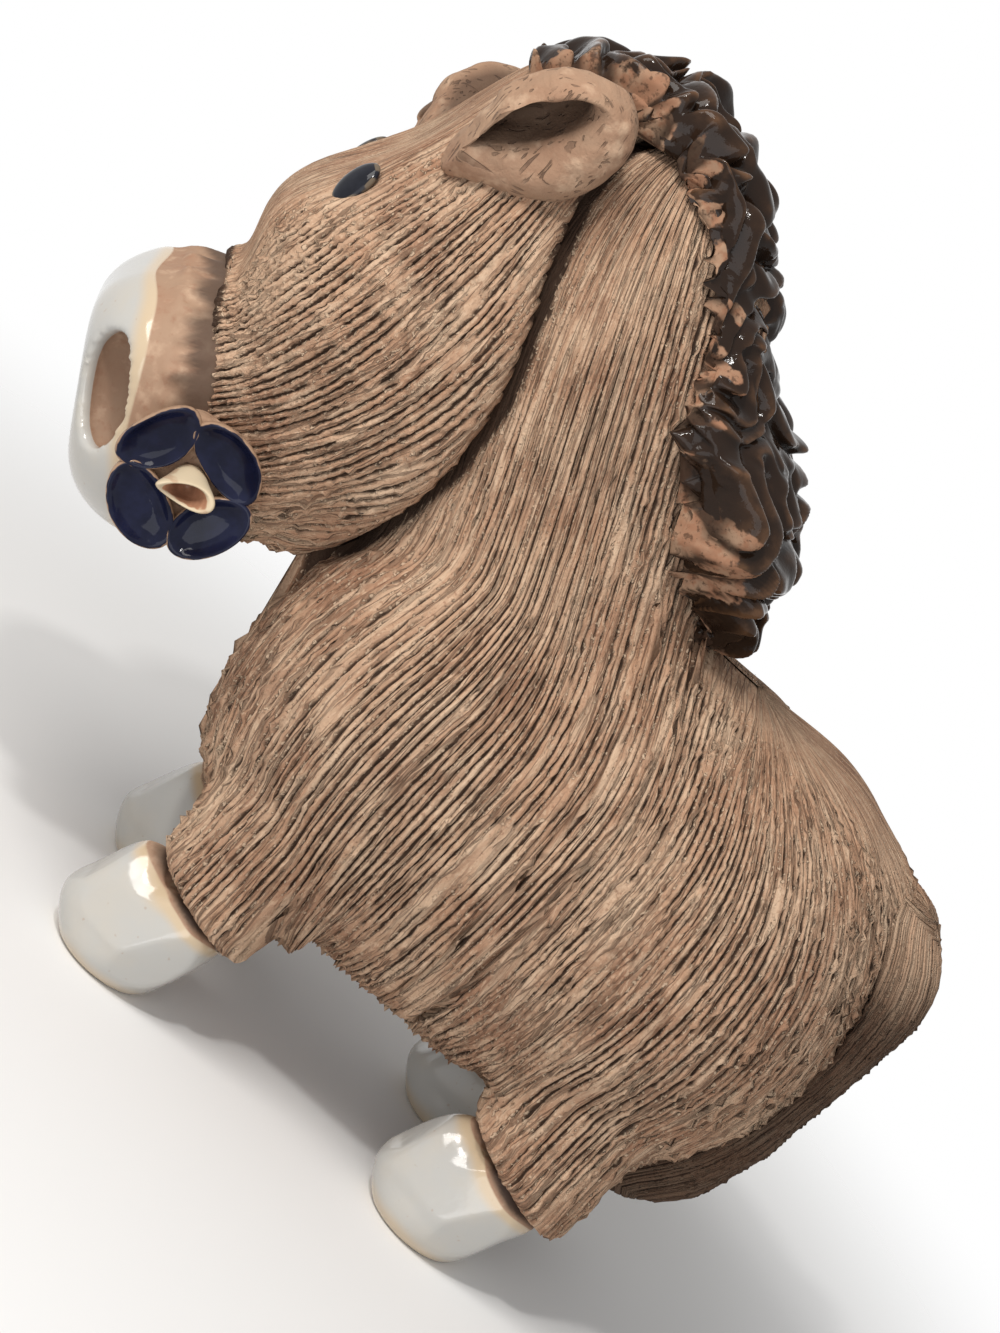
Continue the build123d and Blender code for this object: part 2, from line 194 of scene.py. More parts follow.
class HorseGlaze(bpy.types.PropertyGroup):
    """The glazes on hooves, muzzle, mane, flower and eyes."""

    white: colour("White", "Thick white glaze", (0.46, 0.45, 0.425))
    cream: colour("Cream", "White glaze where it thins", (0.55, 0.43, 0.29))
    raw: colour("Bare clay", "Clay without glaze", (0.36, 0.23, 0.15))
    brown: colour("Brown", "Pooled dark glaze of the mane", (0.020, 0.011, 0.007))
    amber: colour("Amber", "Mane glaze where it breaks over an edge", (0.13, 0.066, 0.034))
    blue: colour("Blue", "Cobalt glaze of the petals", (0.0065, 0.0078, 0.022))
    rim: colour("Rim", "Cream of the flower's heart and of the cloudy white", (0.60, 0.49, 0.34))
    black: colour("Black", "Glaze of the eyes", (0.012, 0.013, 0.018))
    lid: colour("Lid", "Rim of the eyes", (0.13, 0.10, 0.07))


class HorseMane(bpy.types.PropertyGroup):
    """The folds of the mane."""

    width: length("Curl width", "Distance of the curls along the crest", 5.1 * MM)
    fold: length("Fold width", "Distance between two lips of the ribbon", 5.4 * MM)
    lip: length("Lip", "How far a lip hangs over the fold below it", 1.7 * MM)
    wither: amount("Wither share", "Width of the mane at the withers", 0.35)
    swell: amount("Swell", "Width of the mane on the side of the neck", 1.3)
    root: length("Root", "How deep the ribbon is pressed into the crest", 2.4 * MM)
    seed: IntProperty(name="Seed", description="Seed of the folds", default=21)


class HorseStage(bpy.types.PropertyGroup):
    """Floor, light and camera."""

    azimuth: turn("Azimuth", "Camera direction about the upright axis", -5.95)
    elevation: turn("Elevation", "Camera height as an angle", 14.9)
    roll: turn("Roll", "Turn of the camera about its view line", 42.95)
    distance: length("Distance", "From the camera to its target", 431.6 * MM)
    lens: amount("Lens", "Focal length in millimetres", 93.25)
    target: position("Target", "Middle of the picture", (FRONT_LEG_X + VIEW_BEHIND_LEG, 0.0, 57.38 * MM))
    floor: length("Floor", "Radius of the pale floor", 700 * MM)
    ambient: amount("Ambient", "Strength of the surrounding white", 0.42)
    key: amount("Key", "Power of the main lamp", 1.48, unit="POWER")
    glint: amount("Glint", "Power of the small lamp", 0.55, unit="POWER")
    fill: amount("Fill", "Power of the soft lamp in front", 0.93, unit="POWER")


def settings(context, *names):
    return [getattr(context.scene, f"horse_{name}") for name in names]


def deselect():
    if bpy.context.mode != "OBJECT":
        bpy.ops.object.mode_set(mode="OBJECT")
    bpy.ops.object.select_all(action="DESELECT")


def only(piece):
    deselect()
    piece.select_set(True)
    bpy.context.view_layer.objects.active = piece


def edit_all(piece):
    only(piece)
    bpy.ops.object.mode_set(mode="EDIT")
    bpy.ops.mesh.select_all(action="SELECT")


def finish_with(piece, kind, **values):
    """Adds one modifier to a piece and applies it."""
    only(piece)
    modifier = piece.modifiers.new(kind.title(), kind)
    for name, value in values.items():
        setattr(modifier, name, value)
    bpy.ops.object.modifier_apply(modifier=modifier.name)


def smooth(piece, rounds, **more):
    finish_with(piece, "SMOOTH", factor=0.5, iterations=rounds, **more)


def subdivide(piece, levels):
    finish_with(piece, "SUBSURF", levels=levels, render_levels=levels)


def points_of(piece):
    flat = np.empty(len(piece.data.vertices) * 3)
    piece.data.vertices.foreach_get("co", flat)
    return flat.reshape(-1, 3)


def move_points(piece, points):
    piece.data.vertices.foreach_set("co", np.ascontiguousarray(points, dtype=np.float32).ravel())
    piece.data.update()


def normals_of(piece):
    flat = np.empty(len(piece.data.vertices) * 3, dtype=np.float32)
    piece.data.vertex_normals.foreach_get("vector", flat)
    return flat.reshape(-1, 3).astype(float)


def mark(piece, name, values):
    """Stores one number for every point, for a finish to read."""
    layer = piece.data.attributes.get(name) or piece.data.attributes.new(name, "FLOAT", "POINT")
    layer.data.foreach_set("value", np.ascontiguousarray(values, dtype=np.float32).ravel())


def smooth_share(low, high, value):
    share = np.clip((value - low) / (high - low), 0.0, 1.0)
    return share * share * (3 - 2 * share)


def lattice_noise(points, size, seed):
    """Smooth noise from 0 to 1 at points in space, with features of the given size."""
    rng = np.random.default_rng(seed)
    table = rng.random((32, 32, 32))
    cell = points / size + 1000.0
    base = np.floor(cell).astype(int)
    part = cell - base
    part = part * part * (3 - 2 * part)
    total = np.zeros(len(points))
    for corner in np.ndindex(2, 2, 2):
        weight = np.ones(len(points))
        index = []
        for axis in range(3):
            weight *= part[:, axis] if corner[axis] else 1 - part[:, axis]
            index.append((base[:, axis] + corner[axis]) % 32)
        total += weight * table[tuple(index)]
    return total


def line_noise(rng, shape, cells):
    """Smooth noise from 0 to 1 over lines and rows; it closes on itself across the lines."""
    table = rng.random((cells[0], cells[1] + 1))
    across = np.arange(shape[0]) * cells[0] / shape[0]
    along = np.linspace(0, cells[1] - 1e-6, shape[1])
    first, second = across.astype(int), along.astype(int)
    part_a, part_b = across - first, along - second
    part_a, part_b = part_a * part_a * (3 - 2 * part_a), part_b * part_b * (3 - 2 * part_b)
    here, there = table[first], table[(first + 1) % cells[0]]
    mixed = here * (1 - part_a)[:, None] + there * part_a[:, None]
    return mixed[:, second] * (1 - part_b) + mixed[:, second + 1] * part_b


def twin_of(piece):
    """A working copy with a mesh of its own."""
    twin = piece.copy()
    twin.data = piece.data.copy()
    bpy.context.scene.collection.objects.link(twin)
    return twin


def discard(piece):
    mesh = piece.data
    bpy.data.objects.remove(piece)
    bpy.data.meshes.remove(mesh)


def copy_of(name, nodes):
    """One mesh from copies of solids, merged where their points meet."""
    deselect()
    for node in nodes:
        twin = twin_of(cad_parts[node])
        twin.parent = None
        for key in list(twin.keys()):
            del twin[key]
        twin.hide_viewport = False
        twin.hide_set(False)
        twin.select_set(True)
        bpy.context.view_layer.objects.active = twin
    if len(nodes) > 1:
        bpy.ops.object.join()
    piece = bpy.context.view_layer.objects.active
    piece.name = name
    piece.data.name = name
    piece.data.materials.clear()
    edit_all(piece)
    bpy.ops.mesh.remove_doubles(threshold=0.01 * MM)
    bpy.ops.object.mode_set(mode="OBJECT")
    return piece


def soft_clay(name, nodes, voxel, rounds, held_below=None):
    """Solids joined and rounded as wet clay is by the fingers; what is held keeps its edges."""
    piece = copy_of(name, nodes)
    finish_with(piece, "REMESH", mode="VOXEL", voxel_size=voxel)
    if held_below is None:
        smooth(piece, rounds)
    else:
        free = np.flatnonzero(points_of(piece)[:, 2] > held_below)
        piece.vertex_groups.new(name="free").add(free.tolist(), 1.0, "REPLACE")
        smooth(piece, rounds, vertex_group="free")
        smooth(piece, 3)
    return piece


def edge_values(piece, rounds):
    """How far points stand out of their smoothed surroundings: above 0 on edges, below 0 in hollows."""
    twin = twin_of(piece)
    smooth(twin, rounds)
    away = ((points_of(piece) - points_of(twin)) * normals_of(piece)).sum(axis=1)
    discard(twin)
    return away


def hull_depth(piece):
    """How deep every point lies below the hull round its piece."""
    twin = twin_of(piece)
    edit_all(twin)
    bpy.ops.mesh.convex_hull()
    bpy.ops.object.mode_set(mode="OBJECT")
    hull = surface_of(twin)
    discard(twin)
    return np.array([hull.find_nearest(Vector(point))[3] for point in points_of(piece)])


def mesh_piece(name, points, faces):
    mesh = bpy.data.meshes.new(name)
    mesh.from_pydata(points.tolist(), [], faces)
    piece = bpy.data.objects.new(name, mesh)
    bpy.context.scene.collection.objects.link(piece)
    return piece


def close_up(piece, gap=0.02 * MM):
    """Merges poles and seams and turns every face outwards."""
    edit_all(piece)
    bpy.ops.mesh.remove_doubles(threshold=gap)
    bpy.ops.mesh.dissolve_degenerate(threshold=0.001 * MM)
    bpy.ops.mesh.select_all(action="SELECT")
    bpy.ops.mesh.normals_make_consistent(inside=False)
    bpy.ops.object.mode_set(mode="OBJECT")


def dress(piece, material, nodes):
    """Gives a finished piece its finish and its place in the frame."""
    piece.data.materials.clear()
    piece.data.materials.append(material)
    only(piece)
    bpy.ops.object.shade_smooth()
    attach(piece, "root")
    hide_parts(*nodes)
    deselect()


class Skin:
    """The rounded surface of some solids, felt for by rays from outside."""

    def __init__(self, nodes, voxel, rounds, bend=None, held_below=None):
        blank = soft_clay("skin", nodes, voxel, rounds, held_below)
        points = points_of(blank)
        if bend is not None:
            points[:, 0] += bend(points[:, 2])
        faces = [tuple(face.vertices) for face in blank.data.polygons]
        self.tree = BVHTree.FromPolygons(points.tolist(), faces)
        discard(blank)

    def touch(self, centre, outward):
        place = self.tree.ray_cast(centre + outward * RAY_LENGTH, -outward, RAY_LENGTH)[0]
        return centre if place is None else place


def surface_of(*pieces):
    """The surface of finished pieces, for finding the nearest place on it."""
    points, faces = [], []
    for piece in pieces:
        first = len(points)
        points += points_of(piece).tolist()
        faces += [tuple(index + first for index in polygon.vertices) for polygon in piece.data.polygons]
    return BVHTree.FromPolygons(points, faces)


def resample(line, count):
    """The same line with evenly spaced points."""
    steps = np.linalg.norm(np.diff(line, axis=0), axis=1)
    run = np.concatenate(([0.0], np.cumsum(steps)))
    places = np.linspace(0, run[-1], count)
    return np.stack([np.interp(places, run, line[:, axis]) for axis in range(3)], axis=1)


def capsule_lines(skin, path, front, count, cap_rows, even=False):
    """Lines along a form that follows a path of (place, direction), closed by a pole at each end."""
    stations = [(*path[0], radians(90) * (1 - i / cap_rows)) for i in range(cap_rows)]
    stations += [(place, axis, 0.0) for place, axis in path]
    stations += [(*path[-1], -radians(90) * (i + 1) / cap_rows) for i in range(cap_rows)]
    rings = []
    probes = 2 * count if even else count
    for centre, axis, tilt in stations:
        side = axis.cross(front).normalized()
        ahead = side.cross(axis)
        ring = []
        for step in range(probes + 1):
            angle = 2 * pi * step / probes
            outward = (ahead * cos(angle) + side * sin(angle)) * cos(tilt) - axis * sin(tilt)
            ring.append(skin.touch(centre, outward))
        ring = np.array(ring)
        rings.append((resample(ring, count + 1) if even else ring)[:count])
    return np.stack(rings, axis=1)


def grid_out(base):
    """Outward directions over a closed form given as lines of points."""
    across = np.roll(base, -1, axis=0) - np.roll(base, 1, axis=0)
    out = np.cross(np.gradient(base, axis=1), across)
    size = np.linalg.norm(out, axis=2, keepdims=True)
    radial = base - base.mean(axis=(0, 1))
    radial /= np.linalg.norm(radial, axis=2, keepdims=True)
    out = np.where(size > 1e-9, out / np.maximum(size, 1e-12), radial)
    if (out * radial).sum(axis=2).mean() < 0:
        out = -out
    for row, inner in ((0, 1), (-1, -2)):
        out[:, row] = out[:, inner]
    return out


def nearness(lines, tree, reach):
    """How near points are to another surface: 0 at the given reach, 1 on it or inside it."""
    share = np.zeros(lines.shape[0] * lines.shape[1])
    for index, point in enumerate(lines.reshape(-1, 3)):
        spot, normal, _, gap = tree.find_nearest(Vector(point), reach)
        if spot is not None:
            share[index] = 1 - gap / reach if (Vector(point) - spot).dot(normal) > 0 else 1.0
    return share.reshape(lines.shape[:2])


def comb(name, lines, spread, clay, seed, depth=None, lump=None, shade=None):
    """Scores grooves along every line of a closed form and leaves the ragged ridges of a dragged comb; the
    grooves, and any shade given, are stored in the comb value as painted shade.
    """
    rng = np.random.default_rng(seed)
    depth = clay.depth if depth is None else depth
    lump = clay.lump if lump is None else lump
    count, rows = lines.shape[:2]
    columns = len(GROOVE_COLUMNS)
    ahead = np.roll(lines, -1, axis=0)
    base = np.stack([lines * (1 - s) + ahead * s for s in GROOVE_COLUMNS], axis=1).reshape(-1, rows, 3)
    spread = np.repeat(spread, columns, axis=0)
    across = np.repeat(ahead - np.roll(lines, 1, axis=0), columns, axis=0) / 2
    width = np.linalg.norm(across, axis=2, keepdims=True)
    across = across / np.maximum(width, 1e-9)
    along = np.gradient(base, axis=1)
    out = grid_out(base)

    def per_groove(cells):
        return np.repeat(line_noise(rng, (count, rows), (count, cells)), columns, axis=0)

    grid = base.shape[:2]
    shape = np.tile(GROOVE_SHAPE, count)[:, None]
    broken = smooth_share(0.10, 0.34, per_groove(rows // 8))
    rubbed = smooth_share(0.45, 0.75, line_noise(rng, grid, (max(5, count // 14), rows // 10)))
    strength = (0.6 + 0.6 * per_groove(rows // 14)) * broken * (1 - 0.5 * rubbed) * spread
    ragged = 0.65 + 0.5 * rng.random(grid)
    narrow = np.clip(width[..., 0] / clay.spacing, 0.0, 1.0)
    alternate = np.repeat(np.arange(count) % 2, columns)[:, None]
    strength = strength * np.where(alternate, smooth_share(0.55, 0.85, narrow), 1.2)
    groove = np.clip(shape * strength * ragged, 0.0, 1.0)
    pitch = np.minimum(width[..., 0], clay.spacing)
    wander = (per_groove(rows // 16) - 0.5) * 0.4 + (line_noise(rng, grid, (count // 5, 6)) - 0.5) * 0.8
    wander += (rng.random(grid) - 0.5) * 0.26
    relief = lump * (line_noise(rng, grid, (max(6, count // 9), 9)) - 0.5)
    ridge = (1 - shape) * (line_noise(rng, grid, (2 * count, rows // 2)) - 0.5) * 0.5 * depth * spread
    crumbs = (rng.random(grid) < 0.12) * rng.random(grid) * 1.1 * depth * spread
    height = relief + (ridge + crumbs - depth * groove) * np.sqrt(narrow)
    points = base + across * (wander * pitch * narrow * spread)[..., None] + out * height[..., None]

    total = base.shape[0]
    first = np.arange(total)[:, None] * rows + np.arange(rows - 1)[None, :]
    second = np.roll(np.arange(total), -1)[:, None] * rows + np.arange(rows - 1)[None, :]
    faces = np.stack([first, first + 1, second + 1, second], axis=2).reshape(-1, 4)
    piece = mesh_piece(name, points.reshape(-1, 3), faces.tolist())
    # Painted shade from the caller joins the painted shade of the grooves.
    if shade is not None:
        groove = np.maximum(groove, np.repeat(shade, columns, axis=0))
    mark(piece, "comb", groove)
    number = (np.arange(count)[:, None] + GROOVE_COLUMNS).ravel()
    following = np.append(number[1:], count)
    run = np.arange(rows) * np.linalg.norm(along, axis=2).mean() / clay.spacing
    here = np.stack(np.meshgrid(number, run, indexing="ij"), axis=2)
    there = np.stack(np.meshgrid(following, run, indexing="ij"), axis=2)
    corners = np.stack([here[:, :-1], here[:, 1:], there[:, 1:], there[:, :-1]], axis=2)
    strokes = piece.data.uv_layers.new(name="strokes")
    strokes.uv.foreach_set("vector", corners.astype(np.float32).ravel())
    return piece


class Nodes:
    """A node tree that grows node by node."""

    def __init__(self, tree):
        self.tree = tree

    def feed(self, socket, source):
        """Links a socket to its source, or sets it to a number, a vector or a colour."""
        if isinstance(source, bpy.types.NodeSocket):
            self.tree.links.new(source, socket)
        elif socket.type == "RGBA":
            socket.default_value = (*source[:3], 1.0)
        else:
            socket.default_value = source

    def node(self, kind, inputs, **settings):
        node = self.tree.nodes.new("ShaderNode" + kind)
        for name, value in settings.items():
            setattr(node, name, value)
        for name, source in inputs.items():
            self.feed(node.inputs[name], source)
        return node

    def sum(self, operation, first, second):
        return self.node("Math", {0: first, 1: second}, operation=operation).outputs["Value"]

    def blend_shaders(self, share, first, second, output):
        """Mixes two shaders into the surface of the tree's output node."""
        mix = self.node("MixShader", {0: share, 1: first.outputs[0], 2: second.outputs[0]})
        self.feed(self.tree.nodes[output].inputs["Surface"], mix.outputs["Shader"])


class Finish(Nodes):
    """A procedural finish: a Principled shader and the nodes that feed it."""

    def __init__(self, name, roughness=0.8, coat_roughness=0.05, specular=0.5):
        self.material = bpy.data.materials.new(name)
        self.material.use_nodes = True
        super().__init__(self.material.node_tree)
        self.shader = self.tree.nodes["Principled BSDF"]
        self.shader.inputs["Roughness"].default_value = roughness
        self.shader.inputs["Coat Roughness"].default_value = coat_roughness
        self.shader.inputs["Specular IOR Level"].default_value = specular
        self.place = self.node("TexCoord", {}).outputs["Object"]

    def noise(self, size, detail=3.0, roughness=0.55, stretch=None):
        """Noise from 0 to 1 with features of a size in metres."""
        where = self.place
        if stretch is not None:
            where = self.node("Mapping", {"Vector": where, "Scale": stretch}).outputs["Vector"]
        inputs = {"Vector": where, "Scale": 1 / size, "Detail": detail, "Roughness": roughness}
        return self.node("TexNoise", inputs).outputs["Fac"]

    def strokes(self, across, along, detail=2.0, slant=0.0):
        """Streaks along the comb or at a slant to it in degrees, sized in grooves across and along."""
        chart = self.node("UVMap", {}, uv_map="strokes").outputs["UV"]
        inputs = {"Vector": chart, "Rotation": (0, 0, radians(slant)), "Scale": (across, along, 1)}
        turned = self.node("Mapping", inputs, vector_type="TEXTURE").outputs["Vector"]
        inputs = {"Vector": turned, "Scale": 1.0, "Detail": detail}
        return self.node("TexNoise", inputs, noise_dimensions="2D").outputs["Fac"]

    def value(self, name):
        return self.node("Attribute", {}, attribute_name=name).outputs["Fac"]

    def span(self, source, low, high, start=0.0, end=1.0):
        inputs = {"Value": source, "From Min": low, "From Max": high, "To Min": start, "To Max": end}
        return self.node("MapRange", inputs, interpolation_type="SMOOTHSTEP").outputs["Result"]

    def mix(self, share, first, second):
        return self.node("Mix", {0: share, 6: first, 7: second}, data_type="RGBA").outputs[2]

    def times(self, first, second):
        return self.sum("MULTIPLY", first, second)

    def most(self, first, second):
        return self.sum("MAXIMUM", first, second)

    def patches(self, size, detail, low, high, roughness=0.55):
        """Soft-edged patches of a size in metres, 1 inside."""
        return self.span(self.noise(size, detail, roughness), low, high)

    def veil(self, body, tint, mask, strength):
        """A colour with a tint laid over it where the mask is."""
        return self.mix(self.times(mask, strength), body, tint)

    def bump(self, height, distance, strength=1.0):
        node = self.node("Bump", {"Height": height, "Distance": distance, "Strength": strength})
        self.feed(self.shader.inputs["Normal"], node.outputs["Normal"])

    def paint(self, colour_source):
        self.feed(self.shader.inputs["Base Color"], colour_source)

    def gloss(self, source):
        self.feed(self.shader.inputs["Roughness"], source)


def combed_clay(name, clay, dark=0.0):
    """Dry fired clay: tan ridges with pale and red patches, and painted shade in the grooves and wherever
    the comb value carries it; with a strength given, also painted shade towards the bottom of the piece.
    """
    finish = Finish(name, roughness=0.9, specular=0.2)
    groove = finish.value("comb")
    body = finish.veil(clay.tan, clay.pale, finish.patches(12 * MM, 4.0, 0.40, 0.66), 0.4)
    body = finish.veil(body, clay.red, finish.patches(15 * MM, 3.0, 0.44, 0.66, 0.6), 0.65)
    body = finish.veil(body, clay.pale, finish.span(finish.strokes(1.6, 14.0), 0.46, 0.72), 0.55)
    body = finish.veil(body, clay.pale, finish.span(finish.strokes(0.45, 1.3, 2.0), 0.54, 0.68), 0.42)
    soot = finish.times(finish.span(finish.strokes(0.9, 7.0, 4.0), 0.5, 0.7), 0.3)
    pores = finish.times(finish.patches(0.55 * MM, 2.0, 0.56, 0.7), 0.55)
    body = finish.mix(finish.most(soot, pores), body, clay.red)
    thin_lines = finish.times(finish.span(finish.strokes(0.42, 14.0, 1.0), 0.58, 0.68), 0.4)
    for slant in (3.0, -4.0):
        cuts = finish.times(finish.span(finish.strokes(0.38, 26.0, 1.0, slant), 0.66, 0.71), 0.6)
        thin_lines = finish.most(thin_lines, cuts)
    # Painted shade in the grooves and wherever the comb value carries shade, together with the thin dark
    # lines of the comb.
    body = finish.veil(body, clay.groove, finish.most(finish.span(groove, 0.06, 0.6), thin_lines), 0.95)
    slopes = finish.times(finish.span(groove, 0.02, 0.12), finish.span(groove, 0.4, 0.7, 1.0, 0.0))
    crumbs = finish.times(slopes, finish.patches(0.55 * MM, 1.0, 0.54, 0.64))
    body = finish.veil(body, clay.pale, crumbs, 0.75)
    # Painted shade towards the bottom of a piece that marks it, such as the tail.
    if dark:
        body = finish.veil(body, clay.groove, finish.value("dusk"), dark)
    finish.paint(body)
    streaks = finish.times(finish.strokes(0.5, 5.0, 3.0), 0.8)
    grit = finish.sum("ADD", finish.noise(0.42 * MM, 4.0, 0.7), streaks)
    finish.bump(finish.sum("ADD", finish.sum("SUBTRACT", grit, thin_lines), crumbs), 0.3 * MM)
    return finish.material


def plain_clay(name, clay, glaze):
    """Clay smoothed by the fingers, with scratches of the tool and painted shade in hollows."""
    finish = Finish(name, roughness=0.8, specular=0.3)
    body = finish.veil(glaze.raw, clay.red, finish.patches(6 * MM, 4.0, 0.36, 0.68), 0.5)
    body = finish.veil(body, clay.pale, finish.patches(3 * MM, 3.0, 0.52, 0.74), 0.4)
    upright = finish.span(finish.noise(0.5 * MM, 1.0, 0.4, (1, 1, 0.04)), 0.60, 0.68)
    upright = finish.times(upright, finish.patches(4 * MM, 2.0, 0.48, 0.62))
    level = finish.span(finish.noise(0.5 * MM, 1.0, 0.4, (0.05, 1, 0.4)), 0.66, 0.72)
    scratches = finish.most(upright, finish.times(level, 0.7))
    body = finish.veil(body, clay.groove, scratches, 0.6)
    # Painted shade where the pit value is: in the hollow of an ear and on its back.
    finish.paint(finish.veil(body, clay.groove, finish.value("pit"), 0.74))
    height = finish.sum("SUBTRACT", finish.noise(0.7 * MM, 3.0, 0.6), finish.times(scratches, 1.5))
    finish.bump(height, 0.2 * MM, 0.9)
    return finish.material


def white_glaze(name, clay, glaze):
    """Thick glossy white that thins to cream and ends in bare clay, with painted shade over the bare clay
    at the seam.
    """
    finish = Finish(name, coat_roughness=0.04, specular=0.4)
    cover = finish.value("glaze")
    white = finish.veil(glaze.white, glaze.rim, finish.patches(7 * MM, 3.0, 0.35, 0.7), 0.18)
    white = finish.mix(finish.value("thin"), white, glaze.cream)
    white = finish.veil(white, glaze.raw, finish.patches(0.9 * MM, 1.0, 0.72, 0.8), 0.35)
    bare = finish.veil(glaze.raw, clay.red, finish.patches(5 * MM, 4.0, 0.36, 0.68), 0.4)
    bare = finish.veil(bare, clay.pale, finish.patches(2.5 * MM, 3.0, 0.5, 0.75), 0.35)
    bare = finish.veil(bare, clay.red, finish.patches(1.3 * MM, 4.0, 0.5, 0.72, 0.65), 0.55)
    # Painted shade over the bare clay of the seam: the crease behind the muzzle, the nostrils and the top
    # of the hooves under the hems.
    bare = finish.mix(finish.value("seam"), bare, clay.groove)
    edge = finish.span(cover, 0.35, 0.6)
    finish.feed(finish.shader.inputs["Coat Weight"], finish.times(edge, 0.3))
    finish.paint(finish.mix(edge, bare, white))
    finish.gloss(finish.span(cover, 0.3, 0.62, 0.75, 0.13))
    finish.bump(finish.noise(2.2 * MM, 2.0), 0.10 * MM, 0.5)
    return finish.material


def brown_glaze(name, clay, glaze):
    """Dark glossy glaze that breaks to amber over edges, with bare clay at the roots."""
    finish = Finish(name, specular=0.14)
    uneven = finish.span(finish.noise(1.6 * MM, 3.0), 0.3, 0.7, -0.22, 0.22)
    cover = finish.sum("ADD", finish.value("glaze"), uneven)
    break_up = finish.times(finish.patches(2.2 * MM, 3.0, 0.38, 0.64), 0.6)
    amber = finish.times(finish.value("thin"), finish.sum("ADD", break_up, 0.35))
    dark = finish.mix(amber, glaze.brown, glaze.amber)
    bare = finish.mix(finish.patches(4 * MM, 4.0, 0.36, 0.68), glaze.raw, clay.red)
    bare = finish.mix(finish.patches(1.4 * MM, 3.0, 0.46, 0.66), bare, clay.red)
    bare = finish.veil(bare, clay.groove, finish.patches(0.8 * MM, 3.0, 0.52, 0.66, 0.65), 0.65)
    half = finish.mix(finish.span(cover, 0.30, 0.62), bare, dark)
    finish.paint(finish.veil(half, glaze.brown, finish.value("crease"), 0.9))
    finish.gloss(finish.span(cover, 0.3, 0.62, 0.8, 0.07))
    finish.bump(finish.noise(1.5 * MM, 3.0), 0.14 * MM, 0.7)
    return finish.material


def dipped_glaze(name, main, edge, roughness):
    """A glossy glaze with another colour at the edge, where it draws back from the rim."""
    finish = Finish(name, roughness=roughness, specular=0.15)
    cloud = finish.patches(2.5 * MM, 3.0, 0.35, 0.7)
    deep = finish.veil(main, [channel * 2.2 for channel in main], cloud, 0.5)
    uneven = finish.span(finish.noise(2.4 * MM, 2.0), 0.35, 0.65, -0.25, 0.2)
    rim = finish.sum("ADD", finish.value("thin"), uneven)
    finish.paint(finish.mix(finish.span(rim, 0.62, 0.86), deep, edge))
    finish.bump(finish.noise(1.4 * MM, 2.0), 0.05 * MM, 0.5)
    return finish.material


def push_out(piece, heights):
    """Moves every point along its normal."""
    move_points(piece, points_of(piece) + normals_of(piece) * heights[:, None])


def head_matrix(head):
    place = Matrix.Translation(Vector(head.cheek))
    return place @ Matrix.Rotation(head.turned, 4, "Z") @ Matrix.Rotation(head.pitch, 4, "Y")


def to_local(points, matrix):
    inverse = np.array(matrix.inverted())
    return points @ inverse[:3, :3].T + inverse[:3, 3]


def middle_of(node):
    low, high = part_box(node)
    return (low + high) / 2


def body_skin(bend=None):
    return Skin(BODY_NODES, 1.0 * MM, 30, bend, 18 * MM)


def slope_hem(points, clay, free, full):
    """Tips the lower edge of each leg and its hoof, from nothing at one height to all at another."""
    moved = points.copy()
    reach = 13 * MM
    height = points[:, 2]
    share = smooth_share(free, full, height) if full > free else 1 - smooth_share(full, free, height)
    for leg in LEGS:
        centre = middle_of(f"{leg}_leg")
        near = (np.abs(points[:, 0] - centre.x) < reach) & (np.abs(points[:, 1] - centre.y) < reach)
        moved[:, 2] -= near * share * clay.hem_slope * (points[:, 0] - centre.x)
    return moved


